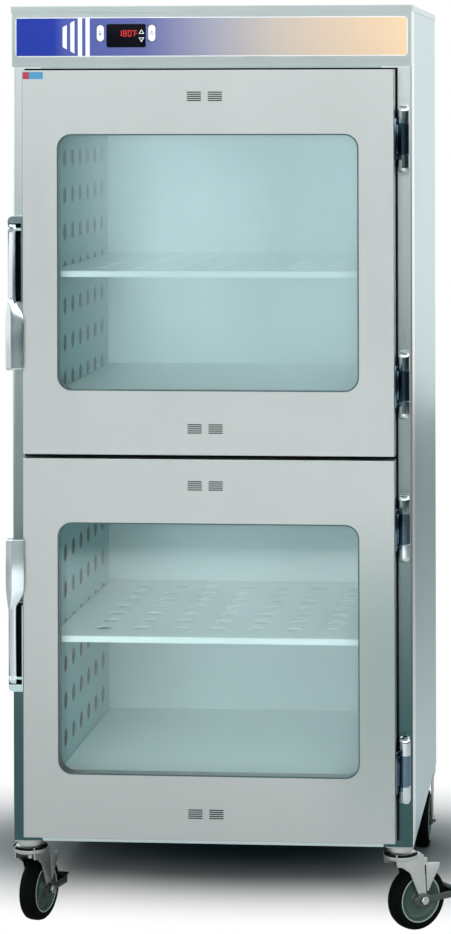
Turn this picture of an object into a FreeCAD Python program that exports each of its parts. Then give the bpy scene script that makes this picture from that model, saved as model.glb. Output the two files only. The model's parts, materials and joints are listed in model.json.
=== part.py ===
import FreeCAD, Part
import math
import os
import re

import Sketcher

from FreeCAD import Placement, Rotation, Vector

# Two-door warming cabinet, in millimetres. X runs to the right, Y to the back and Z up.
# The origin lies on the floor, below the middle of the carcass.

SIZES = {
    # carcass
    "cab_width": 808,
    "cab_depth": 690,
    "cab_tall": 1678.5,
    "foot_room": 178.5,
    "gauge": 1.2,
    "corner": 2,
    "lid_lip": 12.5,
    "post_width": 60,
    "rear_return": 25,
    "pan_lip": 30,
    # doors
    "header_tall": 129,
    "header_gap": 7,
    "sill_tall": 20,
    "low_door_tall": 756.5,
    "door_gap": 8,
    "door_margin": 32,
    "door_thick": 40,
    "gasket_thick": 11.7,
    "gasket_width": 16,
    "gasket_proud": 3.6,
    "window_side": 70,
    "window_border": 127,
    "window_round": 29,
    "pane_thick": 4,
    "pane_lap": 9,
    "slot_long": 28.5,
    "slot_tall": 2.2,
    "slot_pitch": 4.1,
    "slot_rows": 5,
    "slot_spread": 42,
    "slot_inset": 52.5,
    "slot_shift": -5,
    # chambers
    "side_wall": 59,
    "mouth_margin": 15,
    "back_wall": 45,
    "roof_drop": 38,
    "floor_rise": 83.5,
    "mid_wall": 130,
    "rack_gap": 16,
    "rack_room": 4,
    "hole_wide": 37,
    "hole_sides": 6,
    "hole_rise": 76.5,
    "hole_run": 81,
    "shelf_pitch": 78,
    "shelf_lip": 13,
    "shelf_side_gap": 2,
    "runner_wide": 15,
    "up_low_shelf": 54,
    "up_mid_shelf": 301.5,
    "low_low_shelf": 41,
    "low_mid_shelf": 329,
    "tray_rise": 30,
    "heater_room": 8,
    "heater_thick": 2,
    "probe_long": 80,
    "probe_drop": 60,
    # control panel
    "overlay_margin": 8,
    "overlay_tall": 79,
    "overlay_rise": 27.5,
    "overlay_thick": 0.6,
    "overlay_round": 8,
    "lens_wide": 80,
    "lens_tall": 47,
    "lens_thick": 1.6,
    "lens_shift": -171,
    "panel_rise": 69.5,
    "pill_rise": 74.5,
    "key_wide": 13,
    "key_tall": 12,
    "key_shift": 31.3,
    "key_spread": 8,
    "pill_wide": 14.3,
    "pill_tall": 33,
    "pill_spread": 52.3,
    "key_gap": 0.3,
    "key_travel": 0.8,
    # hinges
    "hinge_tall": 133,
    "hinge_out": 22,
    "hinge_side": 15.3,
    "knuckle_wide": 23,
    "knuckle_long": 36,
    "pin_wide": 6,
    "run_gap": 0.05,
    "side_gap": 0.3,
    "leaf_thick": 4,
    "hinge_inset": 138,
    # latches
    "latch_tall": 172,
    "latch_wide": 29,
    "latch_deep": 41.7,
    "latch_wall": 3,
    "latch_skin": 1.2,
    "latch_lip": 2,
    "latch_drop": 291,
    "latch_proud": 2,
    "groove_deep": 18,
    "lever_long": 306,
    "lever_pin": 8,
    "lever_eye": 19,
    "lever_wide": 15,
    "lever_shift": 5.5,
    "grip_wide": 39,
    "grip_shift": 7,
    "grip_long": 132,
    "grip_out": 10,
    "strike_tall": 60,
    "strike_out": 26,
    "strike_gap": 1.5,
    # casters
    "wheel_wide": 32,
    "wheel_size": 127,
    "hub_size": 92,
    "hub_wide": 40,
    "hub_dish": 5,
    "boss_size": 30,
    "wheel_sides": 24,
    "small_sides": 10,
    "race_sides": 16,
    "axle_end": 7,
    "brake_room": 4.4,
    "tyre_bevel": 5,
    "axle_size": 10,
    "trail": 38,
    "king_size": 12,
    "plate_wide": 54,
    "plate_thick": 4,
    "race_size": 72,
    "race_neck": 50,
    "race_tall": 12,
    "crown_drop": 26,
    "leg_thick": 3,
    "caster_side": 28,
    "caster_front": 32,
    "caster_back": 36,
    "left_turn": -15,
    "right_turn": -50,
    "pedal_reach": 74,
}

doc = FreeCAD.newDocument("WarmingCabinet")
sheet = doc.addObject("Spreadsheet::Sheet", "Sizes")
for row, (alias, number) in enumerate(SIZES.items(), 1):
    sheet.set("A%d" % row, alias)
    sheet.set("B%d" % row, str(number))
    sheet.setAlias("B%d" % row, alias)
doc.recompute()

ALIAS = re.compile(r"\b(%s)\b" % "|".join(SIZES))


def cell(alias):
    """The number in the sheet under this alias."""
    return float(sheet.get(alias))


def bind(thing, field, formula):
    """Bind a property to a formula of the sheet's aliases."""
    thing.setExpression(field, ALIAS.sub(r"Sizes.\1", formula))


# Places shared by several pieces, as formulas of the sheet.
HALF = "(cab_width / 2)"
FRONT = "(-cab_depth / 2)"
BACK = "(cab_depth / 2)"
BASE = "foot_room"
TOP = "(foot_room + cab_tall)"
UNDER_LID = "(foot_room + cab_tall - gauge)"
HEADER = "(foot_room + cab_tall - header_tall + header_gap)"
DOOR_SIDE = "(cab_width / 2 - door_margin)"
DOOR_BACK = "(-cab_depth / 2 - gasket_thick - side_gap)"
DOOR_FACE = "(-cab_depth / 2 - gasket_thick - side_gap - door_thick)"
LOW = "(foot_room + sill_tall)"
LOW_TOP = "(foot_room + sill_tall + low_door_tall)"
UP = "(foot_room + sill_tall + low_door_tall + door_gap)"
UP_TOP = "(foot_room + cab_tall - header_tall)"
UP_FLOOR = "(foot_room + sill_tall + low_door_tall + door_gap / 2 + mid_wall / 2)"
LOW_ROOF = "(foot_room + sill_tall + low_door_tall + door_gap / 2 - mid_wall / 2)"
UP_ROOF = "(foot_room + cab_tall - header_tall - roof_drop)"
LOW_FLOOR = "(foot_room + floor_rise)"
CHAMBER_BACK = "(cab_depth / 2 - back_wall)"
TRAY = "(foot_room + cab_tall - header_tall - roof_drop + tray_rise)"
CHAMBER = "(cab_width / 2 - side_wall)"
MOUTH = "(cab_width / 2 - side_wall - mouth_margin)"
WINDOW = "(cab_width / 2 - door_margin - window_side)"
OVERLAY = "(cab_width / 2 - overlay_margin)"

front = -cell("cab_depth") / 2
base = cell("foot_room")
top = base + cell("cab_tall")
up_top = top - cell("header_tall")
low = base + cell("sill_tall")
low_top = low + cell("low_door_tall")
up = low_top + cell("door_gap")
gap_middle = low_top + cell("door_gap") / 2
up_floor = gap_middle + cell("mid_wall") / 2
low_roof = gap_middle - cell("mid_wall") / 2
up_roof = up_top - cell("roof_drop")
low_floor = base + cell("floor_rise")
chamber_back = cell("cab_depth") / 2 - cell("back_wall")
gauge = cell("gauge")
side_gap = cell("side_gap")
door_back = front - cell("gasket_thick") - side_gap
door_face = door_back - cell("door_thick")
door_side = cell("cab_width") / 2 - cell("door_margin")
chamber = cell("cab_width") / 2 - cell("side_wall")
rack_face = chamber - cell("rack_gap")
rack_start = front + gauge + cell("rack_room")
rack_end = chamber_back - cell("rack_room")

parts = []


def keep(thing):
    """Hand a finished sub-part to the list that is written at the end."""
    parts.append(thing)
    return thing


# Sketched bodies.
PLANES = {"X": "YZ_Plane", "Y": "XZ_Plane", "Z": "XY_Plane"}


def new_body(name):
    body = doc.addObject("PartDesign::Body", name)
    body.Label = name
    return body


def new_sketch(body, axis, level):
    """A sketch across an axis. Level is where it lies along that axis."""
    number = sum(1 for o in body.Group if o.isDerivedFrom("Sketcher::SketchObject")) + 1
    sketch = body.newObject("Sketcher::SketchObject", "%sSketch%d" % (body.Name, number))
    planes = {f.Role: f for f in body.Origin.OriginFeatures}
    sketch.AttachmentSupport = [(planes[PLANES[axis]], "")]
    sketch.MapMode = "FlatFace"
    # The XZ plane looks along -Y, so a level along Y is turned round.
    bind(sketch, "AttachmentOffset.Base.z", "-(%s)" % level if axis == "Y" else level)
    return sketch


def limit(sketch, kind, item, point, formula):
    """A bound dimension from the sketch's origin to a point."""
    index = sketch.addConstraint(Sketcher.Constraint(kind, -1, 1, item, point, 10.0 + item))
    bind(sketch, "Constraints[%d]" % index, formula)


def polygon(sketch, corners):
    """A closed outline whose corners are pairs of formulas."""
    first = sketch.GeometryCount
    count = len(corners)
    spots = []
    for i in range(count):
        angle = 2 * math.pi * i / count
        spots.append(Vector(50 * math.cos(angle), 50 * math.sin(angle), 0))
    for i in range(count):
        sketch.addGeometry(Part.LineSegment(spots[i], spots[(i + 1) % count]), False)
    for i in range(count):
        after = first + (i + 1) % count
        sketch.addConstraint(Sketcher.Constraint("Coincident", first + i, 2, after, 1))
    for i, (across, along) in enumerate(corners):
        limit(sketch, "DistanceX", first + i, 1, across)
        limit(sketch, "DistanceY", first + i, 1, along)


def box(left, right, low_side, high_side):
    """Corners of a rectangle, from four formulas."""
    return [(left, low_side), (right, low_side), (right, high_side), (left, high_side)]


def pad(body, axis, near, far, *shapes):
    """Material between two levels along an axis."""
    sketch = new_sketch(body, axis, far if axis == "Y" else near)
    for corners in shapes:
        polygon(sketch, corners)
    feature = body.newObject("PartDesign::Pad", sketch.Name + "Pad")
    feature.Profile = sketch
    bind(feature, "Length", "(%s) - (%s)" % (far, near))
    return feature


def pocket(body, axis, near, far, *shapes):
    """A cut between two levels along an axis."""
    sketch = new_sketch(body, axis, near if axis == "Y" else far)
    for corners in shapes:
        polygon(sketch, corners)
    feature = body.newObject("PartDesign::Pocket", sketch.Name + "Pocket")
    feature.Profile = sketch
    bind(feature, "Length", "(%s) - (%s)" % (far, near))
    return feature


def edges_like(shape, test):
    """Names of the straight edges whose two ends pass a test."""
    names = []
    for number, edge in enumerate(shape.Edges, 1):
        if len(edge.Vertexes) == 2 and test(edge.Vertexes[0].Point, edge.Vertexes[1].Point):
            names.append("Edge%d" % number)
    return names


def fillet(body, radius, test):
    """Round the edges of the body's tip that pass a test."""
    doc.recompute()
    base_feature = body.Tip
    feature = body.newObject("PartDesign::Fillet", body.Name + "Fillet%d" % len(body.Group))
    feature.Base = (base_feature, edges_like(base_feature.Shape, test))
    bind(feature, "Radius", radius)
    return feature


def near(a, b):
    return abs(a - b) < 0.01


def place(thing, x, y, z, turn=None):
    """Set a placement. Turn is a formula for the angle about Z."""
    if turn:
        angle = cell(turn.strip("-")) * (-1 if turn.startswith("-") else 1)
        thing.Placement = Placement(Vector(0, 0, 0), Rotation(Vector(0, 0, 1), angle))
    for name, formula in (("x", x), ("y", y), ("z", z)):
        bind(thing, "Placement.Base." + name, formula)


# Primitives.
def block(name, x, y, z):
    """A Part box between pairs of formulas."""
    thing = doc.addObject("Part::Box", name)
    for size, spot, (start, end) in (("Length", "x", x), ("Width", "y", y), ("Height", "z", z)):
        bind(thing, size, "(%s) - (%s)" % (end, start))
        bind(thing, "Placement.Base." + spot, start)
    return thing


def cut(name, body, tool):
    thing = doc.addObject("Part::Cut", name)
    thing.Base = body
    thing.Tool = tool
    return thing


def fuse(name, pieces):
    thing = doc.addObject("Part::MultiFuse", name)
    thing.Shapes = pieces
    thing.Refine = True
    return thing


def group(name, pieces):
    """Several solids of one kind kept as one sub-part."""
    thing = doc.addObject("Part::Compound", name)
    thing.Label = name
    thing.Links = pieces
    return keep(thing)


def feature(name, shape):
    """A sub-part whose shape is worked out by Part's functions."""
    thing = doc.addObject("Part::Feature", name)
    thing.Label = name
    thing.Shape = shape
    return keep(thing)


def solid_box(x0, x1, y0, y1, z0, z1):
    return Part.makeBox(x1 - x0, y1 - y0, z1 - z0, Vector(x0, y0, z0))


# Carcass.
def side_panel(name, side):
    """A folded side sheet: outer skin, front post and rear return."""
    body = new_body(name)
    outer = "%s * cab_width / 2" % side
    post = "%s * (cab_width / 2 - post_width)" % side
    rear = "%s * (cab_width / 2 - rear_return)" % side
    inner = "%s * (cab_width / 2 - gauge)" % side
    pad(body, "Z", BASE, UNDER_LID, [
        (post, FRONT), (outer, FRONT), (outer, BACK), (rear, BACK),
        (rear, BACK + " - gauge"), (inner, BACK + " - gauge"),
        (inner, FRONT + " + gauge"), (post, FRONT + " + gauge"),
    ])
    # The header panel covers the front above the doors.
    pocket(body, "Y", FRONT, FRONT + " + gauge", box(post, inner, HEADER, UNDER_LID))
    edge = float(side) * cell("cab_width") / 2
    fillet(body, "corner", lambda a, b: near(a.x, edge) and near(b.x, edge)
           and abs(a.z - b.z) > 50 and near(abs(a.y), -front) and near(abs(b.y), -front))
    return keep(body)


side_panel("side_panel_left", "-1")
side_panel("side_panel_right", "1")

lid = new_body("top_lid")
WIDE = "(cab_width / 2 + gauge)"
DEEP = "(cab_depth / 2 + gauge)"
pad(lid, "Z", TOP + " - lid_lip", TOP, box("-" + WIDE, WIDE, "-" + DEEP, DEEP))
pocket(lid, "Z", TOP + " - lid_lip", UNDER_LID, box("-" + HALF, HALF, FRONT, BACK))
fillet(lid, "corner / 2", lambda a, b: near(a.z, top) and near(b.z, top))
keep(lid)

header = new_body("header_panel")
SKIN = "(cab_width / 2 - gauge)"
PANEL = "(foot_room + cab_tall - header_tall + panel_rise)"
PILL = "(foot_room + cab_tall - header_tall + pill_rise)"
pad(header, "Y", FRONT, FRONT + " + gauge", box("-" + SKIN, SKIN, HEADER, UNDER_LID))
pocket(header, "Y", FRONT, FRONT + " + gauge", box(
    "lens_shift - pill_spread - pill_wide / 2 - 2", "lens_shift + pill_spread + pill_wide / 2 + 2",
    PANEL + " - lens_tall / 2 - 2", PANEL + " + lens_tall / 2 + 2"))
keep(header)

INNER_POST = "(cab_width / 2 - post_width)"
FRONT_SHEET = (FRONT, FRONT + " + gauge")
group("front_frame", [
    block("StileLeft", ("-" + INNER_POST, "-" + MOUTH), FRONT_SHEET, (BASE, HEADER)),
    block("StileRight", (MOUTH, INNER_POST), FRONT_SHEET, (BASE, HEADER)),
    block("Sill", ("-" + MOUTH, MOUTH), FRONT_SHEET, (BASE, LOW_FLOOR)),
    block("MiddleRail", ("-" + MOUTH, MOUTH), FRONT_SHEET, (LOW_ROOF, UP_FLOOR)),
    block("HeadRail", ("-" + MOUTH, MOUTH), FRONT_SHEET, (UP_ROOF, HEADER)),
])

pan = new_body("base_pan")
BEHIND = "(-cab_depth / 2 + gauge)"
AHEAD = "(cab_depth / 2 - gauge)"
pad(pan, "Z", BASE, BASE + " + pan_lip", box("-" + SKIN, SKIN, BEHIND, AHEAD))
pocket(pan, "Z", BASE + " + gauge", BASE + " + pan_lip",
       box("-%s + gauge" % SKIN, SKIN + " - gauge", BEHIND + " + gauge", AHEAD + " - gauge"))
keep(pan)

back = new_body("back_panel")
REAR_EDGE = "(cab_width / 2 - rear_return)"
pad(back, "Y", AHEAD, BACK, box("-" + REAR_EDGE, REAR_EDGE, BASE, UNDER_LID))
vents = []
for row in range(6):
    rise = TOP + " - 50 - %d" % (12 * row)
    vents.append(box("-170", "-90", rise, rise + " + 4"))
    vents.append(box("90", "170", rise, rise + " + 4"))
pocket(back, "Y", AHEAD, BACK, *vents)
INLET_X = "(cab_width / 2 - 120)"
INLET_Z = "(foot_room + cab_tall - 70)"
pocket(back, "Y", AHEAD, BACK,
       box(INLET_X + " - 24", INLET_X + " + 24", INLET_Z + " - 14", INLET_Z + " + 14"))
keep(back)


def liner(name, floor, roof):
    """A chamber's inner box, open to the front."""
    body = new_body(name)
    side = "(cab_width / 2 - side_wall + gauge)"
    pad(body, "Y", BEHIND, CHAMBER_BACK + " + gauge",
        box("-" + side, side, floor + " - gauge", roof + " + gauge"))
    pocket(body, "Y", BEHIND, CHAMBER_BACK,
           box("-" + CHAMBER, CHAMBER, floor, roof))
    return keep(body)


liner("upper_liner", UP_FLOOR, UP_ROOF)
liner("lower_liner", LOW_FLOOR, LOW_ROOF)


# Perforated racks and shelves.
def ring_about(radius, sides, spot, along):
    """Even corners at a radius about a spot, across X, Y or Z."""
    corners = []
    for i in range(sides):
        angle = 2 * math.pi * (i + 0.5) / sides
        first, second = radius * math.cos(angle), radius * math.sin(angle)
        if along.x:
            corners.append(spot + Vector(0, first, second))
        elif along.y:
            corners.append(spot + Vector(first, 0, second))
        else:
            corners.append(spot + Vector(first, second, 0))
    return corners


def prism(radius, sides, spot, along, length):
    """A many-sided bar from a spot along X, Y or Z. The radius reaches its corners."""
    corners = ring_about(radius, sides, spot, along)
    return Part.Face(Part.makePolygon(corners + corners[:1])).extrude(along * length)


def rod(radius, spot, along, length):
    """A round bar or bore, used where something turns on it."""
    return Part.makeCylinder(radius, length, spot, along)


def drum(radius, sides, spot, along, length):
    """A many-sided bar whose flats, not its corners, lie at the radius."""
    return prism(radius / math.cos(math.pi / sides), sides, spot, along, length)


def spread(pitch, room):
    """Even places about zero for the rows of holes that a room takes."""
    count = int((room - cell("hole_wide")) // pitch)
    return [pitch * (i - (count - 1) / 2) for i in range(count)]


def punched(plate, spots, along, length):
    sides = int(cell("hole_sides"))
    radius = cell("hole_wide") / 2
    punches = [prism(radius, sides, spot, along, length) for spot in spots]
    return plate.cut(Part.makeCompound(punches))


def rack(side, floor, roof):
    """A perforated side wall, folded back to the liner at its front and rear."""
    face, wall, start, end = rack_face, chamber, rack_start, rack_end
    outline = [
        (face, start), (wall, start), (wall, start + gauge), (face + gauge, start + gauge),
        (face + gauge, end - gauge), (wall, end - gauge), (wall, end), (face, end),
    ]
    points = [Vector(side * x, y, floor) for x, y in outline]
    sheet_face = Part.Face(Part.makePolygon(points + points[:1]))
    blank = sheet_face.extrude(Vector(0, 0, roof - floor - cell("rack_room")))
    spots = []
    for z in spread(cell("hole_rise"), roof - floor):
        for y in spread(cell("hole_run"), end - start):
            middle = Vector(side * face - 5, (start + end) / 2 + y, (floor + roof) / 2 + z)
            spots.append(middle)
    return punched(blank, spots, Vector(1, 0, 0), 10)


def runner(side, level):
    """An angle on a rack's face that carries a shelf's side lip."""
    face = rack_face
    under = level - cell("shelf_lip")
    outline = [
        (face, under - gauge), (face, level - 2), (face - gauge, level - 2),
        (face - gauge, under), (face - cell("runner_wide"), under),
        (face - cell("runner_wide"), under - gauge),
    ]
    points = [Vector(side * x, rack_start, z) for x, z in outline]
    profile = Part.Face(Part.makePolygon(points + points[:1]))
    return profile.extrude(Vector(0, rack_end - rack_start, 0))


levels = {
    "upper": (up_floor + cell("up_mid_shelf"), up_floor + cell("up_low_shelf")),
    "lower": (low_floor + cell("low_mid_shelf"), low_floor + cell("low_low_shelf")),
}
for level, floor, roof in (("upper", up_floor, up_roof), ("lower", low_floor, low_roof)):
    walls = [rack(side, floor, roof) for side in (-1, 1)]
    walls += [runner(side, rise) for side in (-1, 1) for rise in levels[level]]
    feature(level + "_side_racks", Part.makeCompound(walls))


def shelf(name, level, holed):
    """A shelf with lips turned down all round, with or without holes."""
    side = rack_face - cell("shelf_side_gap")
    start, end = rack_start, rack_end
    lip = cell("shelf_lip")
    tray = solid_box(-side, side, start, end, level - lip, level)
    hollow = solid_box(-side + gauge, side - gauge, start + gauge, end - gauge,
                       level - lip, level - gauge)
    folded = tray.cut(hollow)
    if holed:
        spots = []
        for x in spread(cell("shelf_pitch"), 2 * side):
            for y in spread(cell("shelf_pitch"), end - start):
                spots.append(Vector(x, (start + end) / 2 + y, level - 5))
        folded = punched(folded, spots, Vector(0, 0, 1), 10)
    return feature(name, folded)


for level, (middle_level, floor_level) in levels.items():
    shelf(level + "_mid_shelf", middle_level, True)
    shelf(level + "_floor_shelf", floor_level, False)

# What the walls hold.
STUFF = "(cab_width / 2 - 2 * gauge)"
LINER_SIDE = "(cab_width / 2 - side_wall + gauge + heater_room)"
LINER_BACK = "(cab_depth / 2 - back_wall + gauge)"
STUFF_FRONT = "(-cab_depth / 2 + 2 * gauge)"
STUFF_BACK = "(cab_depth / 2 - 2 * gauge)"
group("insulation", [
    block("SideWoolLeft", ("-" + STUFF, "-" + LINER_SIDE), (STUFF_FRONT, STUFF_BACK),
          (BASE + " + gauge", TRAY)),
    block("SideWoolRight", (LINER_SIDE, STUFF), (STUFF_FRONT, STUFF_BACK),
          (BASE + " + gauge", TRAY)),
    block("BackWool", ("-" + LINER_SIDE, LINER_SIDE), (LINER_BACK, STUFF_BACK),
          (BASE + " + gauge", TRAY)),
    block("BaseWool", ("-" + LINER_SIDE, LINER_SIDE), (STUFF_FRONT, LINER_BACK),
          (BASE + " + gauge", LOW_FLOOR + " - gauge")),
    block("MiddleWool", ("-" + LINER_SIDE, LINER_SIDE), (STUFF_FRONT, LINER_BACK),
          (LOW_ROOF + " + gauge", UP_FLOOR + " - gauge")),
    block("RoofWool", ("-" + LINER_SIDE, LINER_SIDE), (STUFF_FRONT, LINER_BACK),
          (UP_ROOF + " + gauge", TRAY)),
])


def heater(side, floor, roof):
    """A flat heating strip laid back and forth over a liner's side."""
    x = side * (chamber + gauge)
    y0, y1 = front + 30, chamber_back - 20
    z0, z1 = floor + 30, roof - 30
    runs = 4
    wide = 12
    step = (z1 - z0 - wide) / (runs - 1)
    pieces = []
    for i in range(runs):
        z = z0 + i * step
        pieces.append(Part.makeBox(cell("heater_thick"), y1 - y0, wide, Vector(0, y0, z)))
        if i < runs - 1:
            end = y1 - wide if i % 2 == 0 else y0
            pieces.append(Part.makeBox(cell("heater_thick"), wide, step, Vector(0, end, z)))
    strip = pieces[0].multiFuse(pieces[1:]).removeSplitter()
    strip.translate(Vector(x if side > 0 else x - cell("heater_thick"), 0, 0))
    return strip


strips = []
for floor, roof in ((up_floor, up_roof), (low_floor, low_roof)):
    strips += [heater(-1, floor, roof), heater(1, floor, roof)]
feature("heater_strips", Part.makeCompound(strips))

probes = []
probe_half = cell("probe_long") / 2
for roof in (up_roof, low_roof):
    spot = Vector(0, chamber_back - 14, roof - cell("probe_drop"))
    stem = prism(3, 6, spot - Vector(probe_half, 0, 0), Vector(1, 0, 0), 2 * probe_half)
    for x in (10 - probe_half, probe_half - 10):
        clip = solid_box(x - 5, x + 5, spot.y - 5, chamber_back, spot.z - 5, spot.z + 5)
        stem = stem.fuse(clip)
    probes.append(stem)
feature("temperature_probes", Part.makeCompound(probes))

keep(block("service_tray", ("-" + SKIN, SKIN), (BEHIND, AHEAD), (TRAY, TRAY + " + gauge")))
TRAY_TOP = "(foot_room + cab_tall - header_tall - roof_drop + tray_rise + gauge)"
group("transformer", [
    block("Core", ("60", "140"), ("-60", "10"), (TRAY_TOP, TRAY_TOP + " + 68")),
    block("Coil", ("70", "130"), ("-78", "-60"), (TRAY_TOP + " + 10", TRAY_TOP + " + 58")),
])
terminals = [block("Terminal%d" % i, (str(180 + 14 * i), str(192 + 14 * i)), ("20", "52"),
                   (TRAY_TOP, TRAY_TOP + " + 24")) for i in range(6)]
group("terminals_and_limit_switch", terminals + [
    block("LimitBody", ("-40", "0"), ("-30", "10"), (TRAY_TOP, TRAY_TOP + " + 30")),
    block("LimitReset", ("-24", "-16"), ("-14", "-6"), (TRAY_TOP + " + 30", TRAY_TOP + " + 38")),
])
inlet_body = block("InletBody", (INLET_X + " - 24", INLET_X + " + 24"),
                   (BACK + " - 32", BACK), (INLET_Z + " - 14", INLET_Z + " + 14"))
inlet_rim = block("InletRim", (INLET_X + " - 30", INLET_X + " + 30"), (BACK, BACK + " + 2.5"),
                  (INLET_Z + " - 18", INLET_Z + " + 18"))
inlet_mouth = block("InletMouth", (INLET_X + " - 13", INLET_X + " + 13"),
                    (BACK + " - 16", BACK + " + 2.5"), (INLET_Z + " - 9", INLET_Z + " + 9"))
inlet = cut("power_inlet", fuse("InletSolid", [inlet_body, inlet_rim]), inlet_mouth)
keep(inlet)

# Control panel.
OVERLAY_LOW = "(foot_room + cab_tall - header_tall + overlay_rise)"
OVERLAY_TOP = "(foot_room + cab_tall - header_tall + overlay_rise + overlay_tall)"
PRINT = "(-cab_depth / 2 - overlay_thick)"


def around(x, z, wide, tall, extra="0"):
    """A rectangle's corners about its middle, larger all round by extra."""
    return box("%s - %s / 2 - %s" % (x, wide, extra), "%s + %s / 2 + %s" % (x, wide, extra),
               "%s - %s / 2 - %s" % (z, tall, extra), "%s + %s / 2 + %s" % (z, tall, extra))


overlay = new_body("control_overlay")
pad(overlay, "Y", PRINT, FRONT, box("-" + OVERLAY, OVERLAY, OVERLAY_LOW, OVERLAY_TOP))
wide_edge = cell("cab_width") / 2 - cell("overlay_margin")
fillet(overlay, "overlay_round", lambda a, b: near(a.x, b.x) and near(abs(a.x), wide_edge)
       and near(a.z, b.z))
pocket(overlay, "Y", PRINT, FRONT,
       around("lens_shift", PANEL, "lens_wide", "lens_tall"),
       around("lens_shift - pill_spread", PILL, "pill_wide", "pill_tall", "key_gap"),
       around("lens_shift + pill_spread", PILL, "pill_wide", "pill_tall", "key_gap"))
keep(overlay)

lens = new_body("display_lens")
LENS_FACE = "(-cab_depth / 2 - overlay_thick - 0.4)"
LENS_BACK = "(-cab_depth / 2 - overlay_thick - 0.4 + lens_thick)"
pad(lens, "Y", LENS_FACE, LENS_BACK, around("lens_shift", PANEL, "lens_wide", "lens_tall"))
pocket(lens, "Y", LENS_FACE, LENS_BACK,
       around("lens_shift + key_shift", PANEL + " + key_spread", "key_wide", "key_tall", "key_gap"),
       around("lens_shift + key_shift", PANEL + " - key_spread", "key_wide", "key_tall", "key_gap"))
keep(lens)


def pill(x, z, wide, tall, arcs):
    """Corners of an upright slot shape: two ends of several flats each."""
    corners = []
    for end, first in ((1, 0), (-1, 180)):
        for i in range(arcs + 1):
            angle = math.radians(first + 180 * i / arcs)
            corners.append(("%s + %s / 2 * %.6f" % (x, wide, math.cos(angle)),
                            "%s + %d * (%s - %s) / 2 + %s / 2 * %.6f"
                            % (z, end, tall, wide, wide, math.sin(angle))))
    return corners


def key(name, corners):
    """A push key that stands a little proud of the panel."""
    body = new_body(name)
    pad(body, "Y", LENS_FACE + " - 0.4", FRONT + " + 1.5", corners)
    return keep(body)


KEY_X = "lens_shift + key_shift"
key("key_up", around(KEY_X, PANEL + " + key_spread", "key_wide", "key_tall"))
key("key_down", around(KEY_X, PANEL + " - key_spread", "key_wide", "key_tall"))
key("key_lock", pill("lens_shift - pill_spread", PILL, "pill_wide", "pill_tall", 6))
key("key_power", pill("lens_shift + pill_spread", PILL, "pill_wide", "pill_tall", 6))

SWITCH = FRONT + " + 1.5 + key_travel + 0.3"
BOARD = FRONT + " + 7"
board = [
    block("Board", ("lens_shift - 74", "lens_shift + 74"), (BOARD, BOARD + " + 1.6"),
          (PANEL + " - 30", PANEL + " + 30")),
    block("Digits", ("lens_shift - 32", "lens_shift + 20"), (LENS_BACK, BOARD),
          (PANEL + " - 12", PANEL + " + 12")),
]
for i, (x, z) in enumerate((
        ("lens_shift + key_shift", PANEL + " + key_spread"),
        ("lens_shift + key_shift", PANEL + " - key_spread"),
        ("lens_shift - pill_spread", PILL), ("lens_shift + pill_spread", PILL))):
    board.append(block("Switch%d" % i, (x + " - 3", x + " + 3"), (SWITCH, BOARD),
                       (z + " - 3", z + " + 3")))
for i, (x, z) in enumerate(((-1, -1), (-1, 1), (1, -1), (1, 1))):
    standoff_x = "lens_shift + %d * 68" % x
    standoff_z = "%s + %d * 24" % (PANEL, z)
    board.append(block("Standoff%d" % i, (standoff_x + " - 3", standoff_x + " + 3"),
                       (FRONT + " + gauge", BOARD), (standoff_z + " - 3", standoff_z + " + 3")))
group("control_board", board)


# Doors.
PANE_SIDE = "(cab_width / 2 - door_margin - window_side + pane_lap)"


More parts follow.
